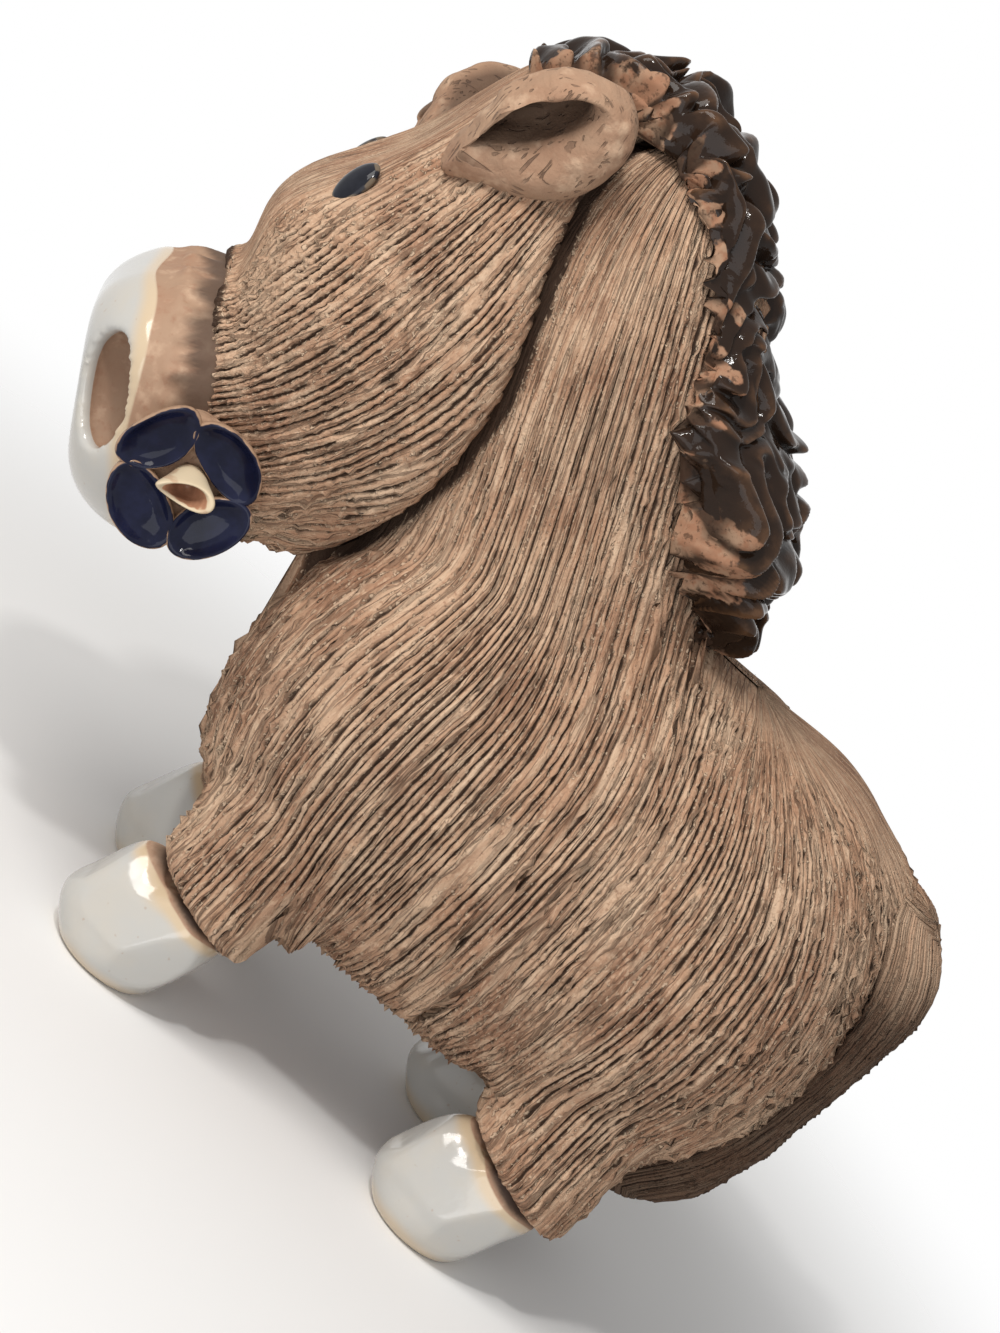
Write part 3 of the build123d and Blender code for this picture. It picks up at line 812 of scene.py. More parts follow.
class HORSE_OT_coat(bpy.types.Operator):
    """Lay the combed coat over body and legs"""

    bl_idname = "horse.coat"
    bl_label = "Combed coat"

    def execute(self, context):
        clay = context.scene.horse_clay
        low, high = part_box("body_shell")
        radius = (high.y - low.y) / 2
        middle = low.z + radius
        barrel_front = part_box("front_left_leg")[0].x - 7.5 * MM
        fore, aft = barrel_front + radius, high.x - radius

        def bend(z):
            over = np.maximum(z - clay.lean_height, 0.0)
            ease = 14 * MM
            return tan(clay.lean) * np.where(over < ease, over * over / (2 * ease), over - ease / 2)

        skin = body_skin(bend)
        flank = aft - fore
        around = 2 * flank + 2 * pi * radius
        count = int(around / clay.spacing)
        lines = []
        for index in range(count):
            run = around * index / count
            if run < flank:
                start, way = aft - run, Vector((0, -1, 0))
            elif run < flank + pi * radius:
                angle = (run - flank) / radius
                start, way = fore, Vector((-sin(angle), -cos(angle), 0))
            elif run < 2 * flank + pi * radius:
                start, way = fore + run - flank - pi * radius, Vector((0, 1, 0))
            else:
                angle = (run - 2 * flank - pi * radius) / radius
                start, way = aft, Vector((sin(angle), cos(angle), 0))
            centre = Vector((start, 0, middle))
            line = []
            for step in range(COAT_PROBES + 1):
                angle = pi / 2 - pi * step / COAT_PROBES
                outward = way * cos(angle) + Vector((0, 0, sin(angle)))
                line.append(skin.touch(centre, outward))
            line = np.array(line)
            line[:, 0] -= bend(line[:, 2])
            lines.append(resample(line, COAT_ROWS))
        lines = np.array(lines)
        x, y, z = lines[..., 0], lines[..., 1], lines[..., 2]
        # The middle of the back is rubbed smooth, and the grooves run out at the hems of the legs.
        back = smooth_share(9 * MM, 22 * MM, x) * smooth_share(69 * MM, 74 * MM, z)
        spread = 1 - back * (1 - smooth_share(8 * MM, 13 * MM, np.abs(y)))
        spread *= 0.35 + 0.65 * smooth_share(14.2 * MM, 16.5 * MM, z)
        # The rump swells round the root of the tail.
        tail_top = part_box("tail")[1]
        root = np.array((tail_top.x - 4 * MM, 0, tail_top.z - 2 * MM))
        swell = 1 - smooth_share(4 * MM, 18 * MM, np.linalg.norm(lines - root, axis=2))
        lines = lines + grid_out(lines) * (2.4 * MM * swell)[..., None]
        # A trench lies beside the cheek, with painted shade in it.
        near = nearness(lines, Skin(["head"], 1.0 * MM, 8).tree, 4.5 * MM)
        spread *= 1 - 0.75 * smooth_share(0.05, 0.5, near)
        lines = lines - grid_out(lines) * (1.6 * MM * smooth_share(0.15, 1.0, near))[..., None]
        piece = comb("coat", lines, spread, clay, clay.seed, shade=0.9 * smooth_share(0.45, 0.85, near))
        move_points(piece, slope_hem(points_of(piece), clay, *LEG_HEM))
        close_up(piece)
        dress(piece, combed_clay("coat_clay", clay), BODY_NODES)
        return {"FINISHED"}


class HORSE_OT_face(bpy.types.Operator):
    """Lay the combed skin over the head"""

    bl_idname = "horse.face"
    bl_label = "Combed head"

    def execute(self, context):
        clay, head = settings(context, "clay", "head")
        place = head_matrix(head)
        skin = Skin(["head"], 0.9 * MM, 8)
        shares = np.linspace(0, 1, STROKE_ROWS)
        keys = np.array([0, 0.38, 0.74, 1.0])

        def swept(values):
            return np.polyval(np.polyfit(keys, values, 3), shares)

        ahead = swept([0, 0, 4 * MM, head.mouth_ahead - 0.8 * MM])
        drop = swept([-21 * MM, 0, 18 * MM, head.mouth_drop - 0.6 * MM])
        tilt = swept([0, radians(8), radians(30), head.mouth_tilt])
        path = []
        for x, z, lean in zip(ahead, drop, tilt):
            way = place.to_3x3() @ Vector((-sin(lean), 0, -cos(lean)))
            path.append((place @ Vector((-x, 0, -z)), way))
        front = place.to_3x3() @ Vector((-1, 0, 0))
        lines = capsule_lines(skin, path, front, HEAD_STROKES, 11)
        local = to_local(lines.reshape(-1, 3), place).reshape(lines.shape)
        # Nose, poll and the clay round the eyes are smooth.
        nose = smooth_share(4 * MM, 10 * MM, -local[..., 0])
        spread = 1 - nose * (1 - smooth_share(8 * MM, 14 * MM, np.abs(local[..., 1])))
        spread *= 1 - smooth_share(25 * MM, 31 * MM, local[..., 2])
        for side in ("left", "right"):
            eye = np.array(middle_of(f"{side}_eye"))
            spread *= smooth_share(3.0 * MM, 6.5 * MM, np.linalg.norm(lines - eye, axis=2))
        # The cheek ends in a rolled edge over the neck, and in a ragged crease round the muzzle; both get
        # painted shade, where the cheek meets the neck and in the crease.
        near = nearness(lines, body_skin().tree, 7 * MM)
        spread *= 1 - 0.7 * smooth_share(0.5, 0.8, near)
        lines = lines + grid_out(lines) * (1.4 * MM * np.sin(pi * near))[..., None]
        shade = 0.9 * smooth_share(0.82, 0.97, near)
        mouth = nearness(lines, Skin(["muzzle"], 0.7 * MM, 6).tree, 3.2 * MM)
        ragged = lattice_noise(lines.reshape(-1, 3), 1.6 * MM, clay.seed).reshape(mouth.shape)
        shade = np.maximum(shade, 0.8 * smooth_share(0.25, 0.8, mouth * (0.5 + ragged)))
        lines = lines + grid_out(lines) * (1.5 * MM * (ragged - 0.35) * np.sin(pi * mouth))[..., None]
        piece = comb("face", lines, spread, clay, clay.seed + 1, lump=0.4 * MM, shade=shade)
        close_up(piece)
        dress(piece, bpy.data.materials["coat_clay"], ["head"])
        return {"FINISHED"}


class HORSE_OT_tail(bpy.types.Operator):
    """Lay the fine-combed tail down the rump"""

    bl_idname = "horse.tail"
    bl_label = "Tail"

    def execute(self, context):
        clay = context.scene.horse_clay
        low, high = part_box("tail")
        skin = Skin(["tail"], 0.6 * MM, 5)
        depth, centre, half = high.x - 6 * MM, (low.z + high.z) / 2, (high.z - low.z) / 2
        heights = np.linspace(high.z - 9 * MM, low.z + 8 * MM, STROKE_ROWS)
        path = [(Vector((depth, 0, height)), Vector((0, 0, -1))) for height in heights]
        lines = capsule_lines(skin, path, Vector((1, 0, 0)), TAIL_STROKES, 8, even=True)
        share = (lines[..., 2] - centre) / half
        lines[..., 0] += 0.9 * MM * share - 0.6 * MM
        spread = np.ones(lines.shape[:2])
        piece = comb("tail_slab", lines, spread, clay, clay.seed + 2, depth=0.38 * MM, lump=0.5 * MM)
        # Painted shade: the tail grows darker towards its bottom.
        mark(piece, "dusk", 1 - smooth_share(0.5, 1.0, (points_of(piece)[:, 2] - centre) / half))
        close_up(piece)
        dress(piece, combed_clay("dark_coat_clay", clay, 0.82), ["tail"])
        return {"FINISHED"}


class HORSE_OT_snout(bpy.types.Operator):
    """Shape the muzzle and pour white glaze over its front"""

    bl_idname = "horse.snout"
    bl_label = "Muzzle"

    def execute(self, context):
        clay, glaze, head = settings(context, "clay", "glaze", "head")
        piece = soft_clay("snout", ["muzzle"], 0.45 * MM, 9)
        place = head_matrix(head)
        out = Vector((-sin(head.mouth_tilt), 0, -cos(head.mouth_tilt)))
        up = Vector((-cos(head.mouth_tilt), 0, sin(head.mouth_tilt)))
        flat = Matrix((up, out.cross(up), out)).transposed().to_4x4()
        flat.translation = Vector((-head.mouth_ahead, 0, -head.mouth_drop))
        local = to_local(points_of(piece), place @ flat)
        wave = lattice_noise(points_of(piece), 9 * MM, 3) - 0.5
        sink = 2.6 * MM * (1 - smooth_share(0.6 * MM, 3.2 * MM, local[:, 2]))
        front = local[:, 2] + 3.2 * MM * wave
        # The hollows of the nostrils keep no glaze and get a little painted shade.
        pit = smooth_share(0.7 * MM, 1.8 * MM, hull_depth(piece))
        fine = lattice_noise(points_of(piece), 1.5 * MM, 4)
        collar = np.exp(-(((local[:, 2] - 3.0 * MM) / (1.4 * MM)) ** 2)) * (fine - 0.1) * 1.3 * MM
        crown = 1.2 * MM * smooth_share(6 * MM, 16 * MM, local[:, 0])
        cover = smooth_share(5.6 * MM, 7.4 * MM, front) * (1 - pit)
        normals = normals_of(piece)
        points = points_of(piece) + normals * (0.3 * MM * cover + 0.5 * MM * wave + collar)[:, None]
        turned = (place @ flat).to_3x3()
        points -= np.array(turned.col[2]) * sink[:, None] + np.array(turned.col[0]) * crown[:, None]
        move_points(piece, points)
        mark(piece, "glaze", cover)
        mark(piece, "thin", 1 - smooth_share(7.2 * MM, 9.0 * MM, front))
        # Painted shade in the rough crease where the muzzle meets the head, and in the nostrils.
        rough = 1 - smooth_share(1.9 * MM, 3.0 * MM, local[:, 2] - 1.6 * MM * (fine - 0.5))
        mark(piece, "seam", np.maximum(0.3 * pit, 0.8 * rough))
        dress(piece, white_glaze("hoof_glaze", clay, glaze), ["muzzle"])
        return {"FINISHED"}


class HORSE_OT_hooves(bpy.types.Operator):
    """Shape the four glazed hooves"""

    bl_idname = "horse.hooves"
    bl_label = "Hooves"

    def execute(self, context):
        clay = context.scene.horse_clay
        for index, node in enumerate(HOOF_NODES):
            piece = soft_clay(node.replace("_hoof", "_white_hoof"), [node], 0.5 * MM, 8)
            low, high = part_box(node)
            middle, half = (low + high) / 2, (high - low) / 2
            points = points_of(piece)
            height = points[:, 2] - low.z
            # Lumps and three flats left by the fingers, none of them on the sole.
            lumps = lattice_noise(points, 7 * MM, LUMP_SEED + index) - 0.5
            about = np.arctan2(points[:, 1] - middle.y, points[:, 0] - middle.x)
            flats = 0.8 * MM * (np.cos(3 * (about - pi)) - 0.6)
            push_out(piece, (1.0 * MM * lumps + flats) * smooth_share(1 * MM, 5 * MM, height))
            points = points_of(piece)
            # The heel is drawn in towards the sole.
            up = np.clip(height / (high.z - low.z), 0.0, 1.0)
            points[:, 0] -= 1.0 * MM * (1 + (points[:, 0] - middle.x) / half.x) * (1 - up)
            # A ridge on the outer side and a brow in front, where planes are pressed in.
            outer = -1 if "left" in node else 1
            ridge = np.array((middle.x, middle.y + 0.9 * outer * half.y, middle.z))
            brow = np.array((middle.x - 0.93 * half.x, middle.y, middle.z))
            for through, plane in (
                (ridge, (-0.36, 0.88 * outer, 0.30)),
                (ridge, (0.24, 0.96 * outer, -0.12)),
                (brow, (-0.85, 0.0, 0.5)),
            ):
                plane = np.array(plane) / np.linalg.norm(plane)
                points -= 0.9 * np.maximum((points - through) @ plane, 0.0)[:, None] * plane
            move_points(piece, slope_hem(points, clay, *HOOF_HEM))
            smooth(piece, 3)
            points = points_of(piece)
            points[:, 2] = np.maximum(points[:, 2], low.z)
            move_points(piece, points)
            # The glaze ends below the tipped upper edge.
            wave = lattice_noise(points, 5 * MM, GLAZE_SEED + index) - 0.5
            untipped = 2 * points[:, 2] - slope_hem(points, clay, *HOOF_HEM)[:, 2]
            top = high.z - untipped + 2.0 * MM * wave
            cover = smooth_share(0.6 * MM, 2.2 * MM, top)
            mark(piece, "glaze", cover)
            foot = 1 - smooth_share(0.6 * MM, 2.6 * MM, height + 1.6 * MM * wave)
            mark(piece, "thin", np.maximum(foot * 0.75, 1 - smooth_share(2.0 * MM, 3.6 * MM, top)))
            # Painted shade under the leg's hem, over the bare seam at the top of the hoof.
            mark(piece, "seam", 1 - smooth_share(0.2 * MM, 1.4 * MM, top))
            dress(piece, bpy.data.materials["hoof_glaze"], [node])
        return {"FINISHED"}


def ball(name, profile, segments, seat, form):
    """A closed form from a profile of (radius, height), top first, which a function shapes on its seat."""
    rings = len(profile) - 1
    deselect()
    bpy.ops.mesh.primitive_uv_sphere_add(segments=segments, ring_count=rings, radius=1.0)
    piece = bpy.context.active_object
    piece.name = name
    piece.data.name = name
    points = points_of(piece)
    step = np.rint(np.arccos(np.clip(points[:, 2], -1, 1)) / pi * rings).astype(int)
    angle = np.arctan2(points[:, 1], points[:, 0])
    profile = np.array(profile)
    local = np.stack(form(angle, profile[step, 0], profile[step, 1], step), axis=1)
    whole = np.array(seat)
    move_points(piece, local @ whole[:3, :3].T + whole[:3, 3])
    return piece, step


def seat_matrix(centre, out, across):
    """A place with Z out of the surface and X along the given direction."""
    out = out.normalized()
    across = (across - out * across.dot(out)).normalized()
    seat = Matrix((across, out.cross(across), out)).transposed().to_4x4()
    seat.translation = centre
    return seat


class HORSE_OT_ears(bpy.types.Operator):
    """Shape the two ears of plain clay"""

    bl_idname = "horse.ears"
    bl_label = "Ears"

    def execute(self, context):
        clay, glaze, head = settings(context, "clay", "glaze", "head")
        material = plain_clay("ear_clay", clay, glaze)
        for seed, side, sign in ((5, "left", -1), (6, "right", 1)):
            spot, lean, splay = (getattr(head, f"{side}_{name}") for name in ("ear", "lean", "splay"))
            tilt = Matrix.Rotation(-sign * splay, 4, "X") @ Matrix.Rotation(lean, 4, "Y")
            seat = head_matrix(head) @ Matrix.Translation(Vector(spot)) @ tilt
            near, size = (1.0, 0.97) if side == "left" else (0.0, 0.8)

            def leaf(angle, wide, long, step, sign=sign, near=near, size=size):
                depth = np.array([row[2] for row in EAR_RINGS])[step] * MM
                tip = smooth_share(0.3, 1.0, -np.sin(angle))
                rim = smooth_share(3.0, 7.0, step.astype(float))
                x = wide * MM * np.cos(angle) * (1 + 0.16 * np.sin(angle)) * (1 - 0.5 * tip)
                x = x - 3.3 * MM * (1 - rim)
                z = long * MM * np.sin(angle) - 2.8 * MM * tip * rim * near - 0.4 * MM * (1 - rim)
                depth = depth - 3.0 * MM * tip * rim
                return size * x, size * sign * depth, size * z

            piece, step = ball(f"{side}_clay_ear", [row[:2] for row in EAR_RINGS], 40, seat, leaf)
            # Painted shade in the hollow of the ear and on its back.
            mark(piece, "pit", 1 - smooth_share(2.6, 4.6, step.astype(float)) + (step > 9))
            close_up(piece, 0.001 * MM)
            subdivide(piece, 2)
            points = points_of(piece)
            wave = lattice_noise(points, 5 * MM, seed) - 0.5
            wave += 0.5 * (lattice_noise(points, 1.8 * MM, seed) - 0.5)
            push_out(piece, 1.1 * MM * wave)
            dress(piece, material, [f"{side}_ear"])
        return {"FINISHED"}


class HORSE_OT_eyes(bpy.types.Operator):
    """Press in the two black eyes"""

    bl_idname = "horse.eyes"
    bl_label = "Eyes"

    def execute(self, context):
        glaze, head = settings(context, "glaze", "head")
        place = head_matrix(head)
        material = dipped_glaze("eye_glaze", glaze.black, glaze.lid, 0.06)
        for side in ("left", "right"):
            centre = middle_of(f"{side}_eye")
            local = place.inverted() @ centre
            out = place.to_3x3() @ Vector((local.x, local.y, 4 * MM))
            seat = seat_matrix(centre, out, Vector((0, 0, 1)))
            proud = 0.4 * MM if side == "left" else -0.6 * MM

            def bead(angle, radius, height, step, proud=proud):
                x, y = 3.5 * MM * radius * np.cos(angle), 2.1 * MM * radius * np.sin(angle)
                return x, y, 0.9 * MM * height + proud

            piece, step = ball(f"{side}_bead_eye", BEAD_PROFILE, 32, seat, bead)
            mark(piece, "thin", (step >= 4) * 0.8)
            subdivide(piece, 1)
            dress(piece, material, [f"{side}_eye"])
        return {"FINISHED"}


class HORSE_OT_flower(bpy.types.Operator):
    """Make the flower at the corner of the mouth"""

    bl_idname = "horse.flower"
    bl_label = "Flower"

    def execute(self, context):
        clay, glaze, head = settings(context, "clay", "glaze", "head")
        place = head_matrix(head)
        out = place.to_3x3() @ Vector((0, -1, 0))
        pad = soft_clay("flower_clay", ["flower_pad"], 0.4 * MM, 8)
        wave = lattice_noise(points_of(pad), 3.5 * MM, 11) - 0.5
        push_out(pad, 1.0 * MM * wave)
        mark(pad, "pit", np.zeros(len(wave)))
        dress(pad, bpy.data.materials["ear_clay"], ["flower_pad"])

        heart_centre = middle_of("flower_heart")
        blue = dipped_glaze("petal_glaze", glaze.blue, glaze.raw, 0.07)
        for index, node in enumerate(PETAL_NODES):
            centre = middle_of(node)
            radial = centre - heart_centre
            radial -= out * radial.dot(out)
            seat = seat_matrix(centre - out * 1.2 * MM, out, radial)
            rng = np.random.default_rng(PETAL_SEED + index)
            long_half = 5.2 * MM + 0.5 * MM * rng.random()
            short_half = 3.2 * MM + 0.3 * MM * rng.random()
            skew = 0.25 * (rng.random() - 0.5)

            def petal(angle, radius, height, step, a=long_half, b=short_half, skew=skew):
                x, y = b * radius * np.cos(angle), a * radius * np.sin(angle)
                x = x + skew * y * y / a
                return x, y, 2.6 * MM * height + 0.09 * (x + b) ** 2 / b

            piece, step = ball(f"flower_blue_petal_{index + 1}", DISH_PROFILE, 36, seat, petal)
            mark(piece, "thin", smooth_share(4.9, 7.0, step.astype(float)))
            subdivide(piece, 1)
            dress(piece, blue, [node])

        cream = dipped_glaze("heart_glaze", clay.red, glaze.rim, 0.25)
        seat = seat_matrix(heart_centre - out * 3.0 * MM, out, place.to_3x3() @ Vector((0.93, 0, 0.36)))

        def heart(angle, radius, height, step):
            pinch = smooth_share(0.2, 1.0, height)
            x = radius * MM * np.cos(angle) * (1 + 0.30 * pinch)
            y = radius * MM * np.sin(angle) * (1 - 0.48 * pinch * (1 - 0.3 * np.cos(angle)))
            return x, y, 6.0 * MM * height + 0.5 * MM * pinch * np.cos(2 * angle + 0.6)

        piece, step = ball("flower_cream_heart", TUBE_PROFILE, 32, seat, heart)
        mark(piece, "thin", smooth_share(3.0, 5.0, step.astype(float)))
        subdivide(piece, 1)
        dress(piece, cream, ["flower_heart"])
        return {"FINISHED"}


class Curl:
    """The seat of one curl of the mane, read from its solid."""

    def __init__(self, node):
        points = points_of(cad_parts[node])
        self.span = points[:, 1].max()
        centre = points[np.abs(points[:, 1]) < 0.12 * self.span]
        self.middle = centre.mean(axis=0) * (1, 0, 1)
        self.tips = points[np.abs(points[:, 1]) > 0.9 * self.span].mean(axis=0) * (1, 0, 1)
        self.centre_points = centre

    def turn_to(self, ahead, away):
        self.ahead, self.away = ahead, away
        self.top = float(((self.centre_points - self.middle) @ away).max())
        self.drop = max(float((self.middle - self.tips) @ away), 0.0)
        self.shift = float((self.tips - self.middle) @ ahead)


def mane_seats():
    """All curls of the mane from forelock to withers, with their directions along and out of the crest."""
    curls = [Curl(node) for node in CURL_NODES]
    if curls[-1].middle[2] > curls[0].middle[2]:
        curls.reverse()
    middles = np.array([curl.middle for curl in curls])
    along = np.gradient(middles, axis=0)
    along /= np.linalg.norm(along, axis=1, keepdims=True)
    out = np.stack([-along[:, 2], np.zeros(len(along)), along[:, 0]], axis=1)
    if (out * (middles - middles.mean(axis=0))).sum() < 0:
        out = -out
    for curl, ahead, away in zip(curls, along, out):
        curl.turn_to(ahead, away)
    return curls


def ruffle(along, across, mane):
    """Height of a gathered ribbon, from 0 in its creases to 1 on its lips, over places in millimetres."""
    flat = np.stack([along, across, np.zeros_like(along)], axis=2).reshape(-1, 3)

    def noise(size, step):
        return lattice_noise(flat, size, mane.seed + step).reshape(along.shape) - 0.5

    bend = 12.0 * noise(10.0, 1) + 8.0 * noise(5.0, 2) + 2.0 * noise(2.3, 3)
    phase = (along + bend) * MM / mane.fold
    phase = phase - np.floor(phase)
    lip = np.sin(pi * phase**1.25) ** 0.6
    dents = np.abs(2 * noise(5.2, 4) + noise(2.8, 5)) ** 0.6
    height = lip * (0.55 + 0.5 * np.minimum(dents, 1.0)) * (0.95 + 0.5 * noise(7.0, 6))
    pits = smooth_share(0.22, 0.32, noise(4.4, 8))
    return np.clip(height, 0.0, 1.1) * (1 - 0.8 * pits)


class HORSE_OT_mane(bpy.types.Operator):
    """Fold the ribbon of the mane over crest and poll"""

    bl_idname = "horse.mane"
    bl_label = "Mane"

    def execute(self, context):
        clay, glaze, head, mane = settings(context, "clay", "glaze", "head", "mane")
        curls = mane_seats()
        order = np.arange(len(curls))
        place = np.linspace(-0.6, order[-1] + 0.3, MANE_ROWS)
        t = np.linspace(-1.0, 1.0, MANE_COLUMNS)

        def blend(name):
            values = np.array([getattr(curl, name) for curl in curls])
            if values.ndim == 1:
                return np.interp(place, order, values)
            return np.stack([np.interp(place, order, values[:, axis]) for axis in range(3)], axis=1)

        ahead, away, middle = blend("ahead"), blend("away"), blend("middle")
        past = (place - np.clip(place, 0, order[-1]))[:, None] * mane.width
        middle = middle + ahead * past
        span, top, drop, shift = blend("span"), blend("top"), blend("drop"), blend("shift")
        side = np.array([0.0, 1.0, 0.0])
        widths = (1.0, 1.05, mane.swell, 1.0, mane.wither)
        reach = np.interp(place / order[-1], (0.0, 0.4, 0.66, 0.84, 1.02), widths)
        grid_t = (reach[:, None] * t[None, :])[..., None]
        base = middle[:, None] + side * span[:, None, None] * grid_t
        base = base + grid_t**2 * (shift[:, None] * ahead - drop[:, None] * away)[:, None]
        out = away[:, None] + side * (2 * drop / span)[:, None, None] * grid_t
        out /= np.linalg.norm(out, axis=2, keepdims=True)

        def noise(size, step):
            return lattice_noise(base.reshape(-1, 3), size, mane.seed + step).reshape(base.shape[:2]) - 0.5

        run = np.broadcast_to((place * mane.width / MM)[:, None], base.shape[:2])
        height = ruffle(run, 1.15 * span[:, None] * grid_t[..., 0] / MM, mane)
        ends = smooth_share(0, 0.5, place - place[0]) * smooth_share(0, 0.5, place[-1] - place)
        edge = 1 - smooth_share(0.75, 1.0, np.abs(t))
        cloth = ends[:, None] * edge[None, :]
        rise = (top[:, None] + mane.root) * (0.27 + 0.86 * height) * (0.3 + 0.7 * cloth) - mane.root
        rise = rise + (np.interp(place / order[-1], MANE_PLACES, MANE_LIFTS) * MM)[:, None] * cloth
        lean = mane.lip * (0.8 + 0.9 * noise(6 * MM, 10)) * height**2 * cloth
        crumple = np.stack([noise(5 * MM, 13), noise(5 * MM, 14), noise(5 * MM, 15)], axis=2)
        points = base + out * rise[..., None] + ahead[:, None] * lean[..., None]
        points += 2.4 * MM * crumple * cloth[..., None]

        ground = surface_of(bpy.data.objects["coat"], bpy.data.objects["face"])
        rim = np.maximum(smooth_share(0.82, 1.0, np.abs(t))[None, :], 1 - ends[:, None])
        for i, j in np.argwhere(rim > 0.001):
            spot, normal = ground.find_nearest(Vector(points[i, j]))[:2]
            points[i, j] += rim[i, j] * (np.array(spot - normal * 1.2 * MM) - points[i, j])

        rows, columns = height.shape
        index = np.arange(rows * columns).reshape(rows, columns)
        under = points - out * 3.0 * MM * (1 - rim[..., None])
        corners = [index[:-1, :-1], index[1:, :-1], index[1:, 1:], index[:-1, 1:]]
        faces = np.stack(corners, axis=2).reshape(-1, 4)
        faces = np.concatenate([faces, faces[:, ::-1] + rows * columns])
        edges = [index[0], index[:, -1], index[-1, ::-1], index[::-1, 0]]
        hem = np.concatenate([np.stack([line[:-1], line[1:]], axis=1) for line in edges])
        walls = np.concatenate([hem, hem[:, ::-1] + rows * columns], axis=1)
        points = np.concatenate([points, under]).reshape(-1, 3)
        piece = mesh_piece("folded_mane", points, np.concatenate([faces, walls]).tolist())
        wave = noise(4 * MM, 11) + 0.9 * noise(1.6 * MM, 12)
        ear = head_matrix(head) @ Vector(head.left_ear)
        by_ear = 1 - smooth_share(11 * MM, 14 * MM, np.linalg.norm(base - np.array(ear), axis=2))
        bare = np.maximum(smooth_share(0.84, 0.95, np.abs(t)[None, :] + 0.30 * wave), by_ear)
        cover = (1 - bare) * ends[:, None]
        crease = 1 - smooth_share(0.28, 0.6, height + 0.15 * wave)
        for name, values in (("glaze", cover), ("crease", crease)):
            mark(piece, name, np.concatenate([values, values]))
        close_up(piece, 0.0001 * MM)
        smooth(piece, 2)
        mark(piece, "thin", smooth_share(0.02 * MM, 0.3 * MM, edge_values(piece, 16)))
        dress(piece, brown_glaze("mane_glaze", clay, glaze), CURL_NODES)
        return {"FINISHED"}


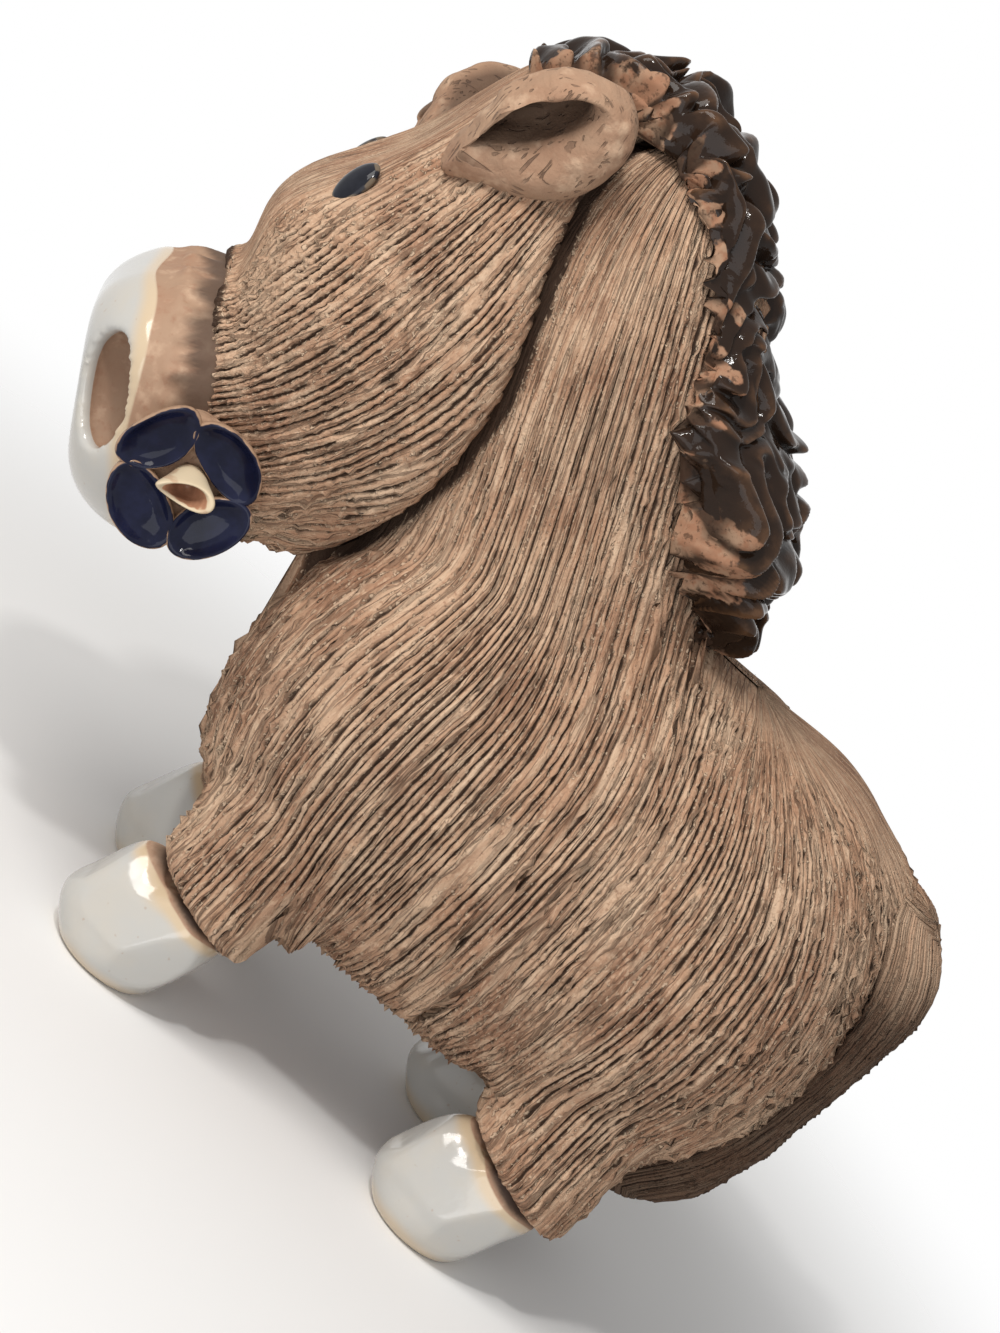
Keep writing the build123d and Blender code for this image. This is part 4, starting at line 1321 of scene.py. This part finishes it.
class HORSE_OT_stage(bpy.types.Operator):
    """Set floor, lights and camera"""

    bl_idname = "horse.stage"
    bl_label = "Stage"

    def execute(self, context):
        scene, stage = context.scene, context.scene.horse_stage
        scene.view_settings.view_transform = "Standard"
        target = Vector(stage.target)
        a, e, r = stage.azimuth, stage.elevation, stage.roll
        back = Vector((sin(a) * cos(e), -cos(a) * cos(e), sin(e)))
        right = Vector((cos(a), sin(a), 0))
        up = back.cross(right)
        tipped_right = right * cos(r) + up * sin(r)
        tipped_up = up * cos(r) - right * sin(r)
        camera = bpy.data.objects.new("camera", bpy.data.cameras.new("camera"))
        camera.data.sensor_width = SENSOR
        camera.data.lens = stage.lens
        camera.data.clip_start = 0.01
        pose = Matrix((tipped_right, tipped_up, back)).transposed().to_4x4()
        pose.translation = target + back * stage.distance
        camera.matrix_world = pose
        scene.collection.objects.link(camera)
        scene.camera = camera

        deselect()
        bpy.ops.mesh.primitive_circle_add(vertices=96, radius=stage.floor, fill_type="NGON")
        floor = context.active_object
        floor.name = "floor"
        floor.data.materials.append(self.floor_paint())

        world = bpy.data.worlds.new("studio")
        scene.world = world
        world.use_nodes = True
        sky = Nodes(world.node_tree)
        ambient = sky.tree.nodes["Background"]
        sky.feed(ambient.inputs["Color"], (1.0, 0.985, 0.965))
        sky.feed(ambient.inputs["Strength"], stage.ambient)
        white = sky.node("Background", {"Color": (1, 1, 1), "Strength": 1.0})
        rays = sky.node("LightPath", {}).outputs
        seen = rays["Is Camera Ray"]
        for kind in ("Is Glossy Ray", "Is Transmission Ray"):
            seen = sky.sum("MAXIMUM", seen, rays[kind])
        sky.blend_shaders(seen, ambient, white, "World Output")
        for name, place, size, tint in LAMPS:
            self.lamp(name, place, target, size, getattr(stage, name), tint)
        return {"FINISHED"}

    def lamp(self, name, place, target, size, power, tint):
        light = bpy.data.lights.new(name, "AREA")
        light.energy = power
        light.size = size
        light.color = tint
        holder = bpy.data.objects.new(name, light)
        holder.location = place
        holder.rotation_euler = (Vector(place) - target).to_track_quat("Z", "Y").to_euler()
        bpy.context.scene.collection.objects.link(holder)

    def floor_paint(self):
        """A pale floor that melts into the white round it and keeps the shadow near the horse."""
        finish = Finish("pale_floor", roughness=0.9, specular=0.0)
        finish.paint((0.86, 0.86, 0.86))
        away = finish.node("VectorMath", {0: finish.place}, operation="LENGTH").outputs["Value"]
        clear = finish.node("BsdfTransparent", {})
        finish.blend_shaders(finish.span(away, 0.08, 0.2), finish.shader, clear, "Material Output")
        return finish.material


class HORSE_PT_panel(bpy.types.Panel):
    """Lists the steps of the horse"""

    bl_idname = "HORSE_PT_panel"
    bl_label = "Combed clay horse"
    bl_space_type = "VIEW_3D"
    bl_region_type = "UI"
    bl_category = "Horse"

    def draw(self, context):
        for step in STEPS:
            self.layout.operator(step.bl_idname)


SETTINGS = {
    "horse_clay": HorseClay,
    "horse_head": HorseHead,
    "horse_glaze": HorseGlaze,
    "horse_mane": HorseMane,
    "horse_stage": HorseStage,
}
STEPS = (
    HORSE_OT_stage,
    HORSE_OT_coat,
    HORSE_OT_face,
    HORSE_OT_tail,
    HORSE_OT_snout,
    HORSE_OT_hooves,
    HORSE_OT_ears,
    HORSE_OT_eyes,
    HORSE_OT_flower,
    HORSE_OT_mane,
)


def register():
    for group in SETTINGS.values():
        bpy.utils.register_class(group)
    for name, group in SETTINGS.items():
        setattr(bpy.types.Scene, name, PointerProperty(type=group))
    for step in STEPS:
        bpy.utils.register_class(step)
    bpy.utils.register_class(HORSE_PT_panel)


def unregister():
    bpy.utils.unregister_class(HORSE_PT_panel)
    for step in reversed(STEPS):
        bpy.utils.unregister_class(step)
    for name, group in SETTINGS.items():
        delattr(bpy.types.Scene, name)
        bpy.utils.unregister_class(group)


def main():
    register()
    bpy.ops.horse.stage()
    bpy.ops.horse.coat()
    bpy.ops.horse.face()
    bpy.ops.horse.tail()
    bpy.ops.horse.snout()
    bpy.ops.horse.hooves()
    bpy.ops.horse.ears()
    bpy.ops.horse.eyes()
    bpy.ops.horse.flower()
    bpy.ops.horse.mane()
    deselect()
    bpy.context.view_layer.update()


if __name__ == "__main__":
    main()
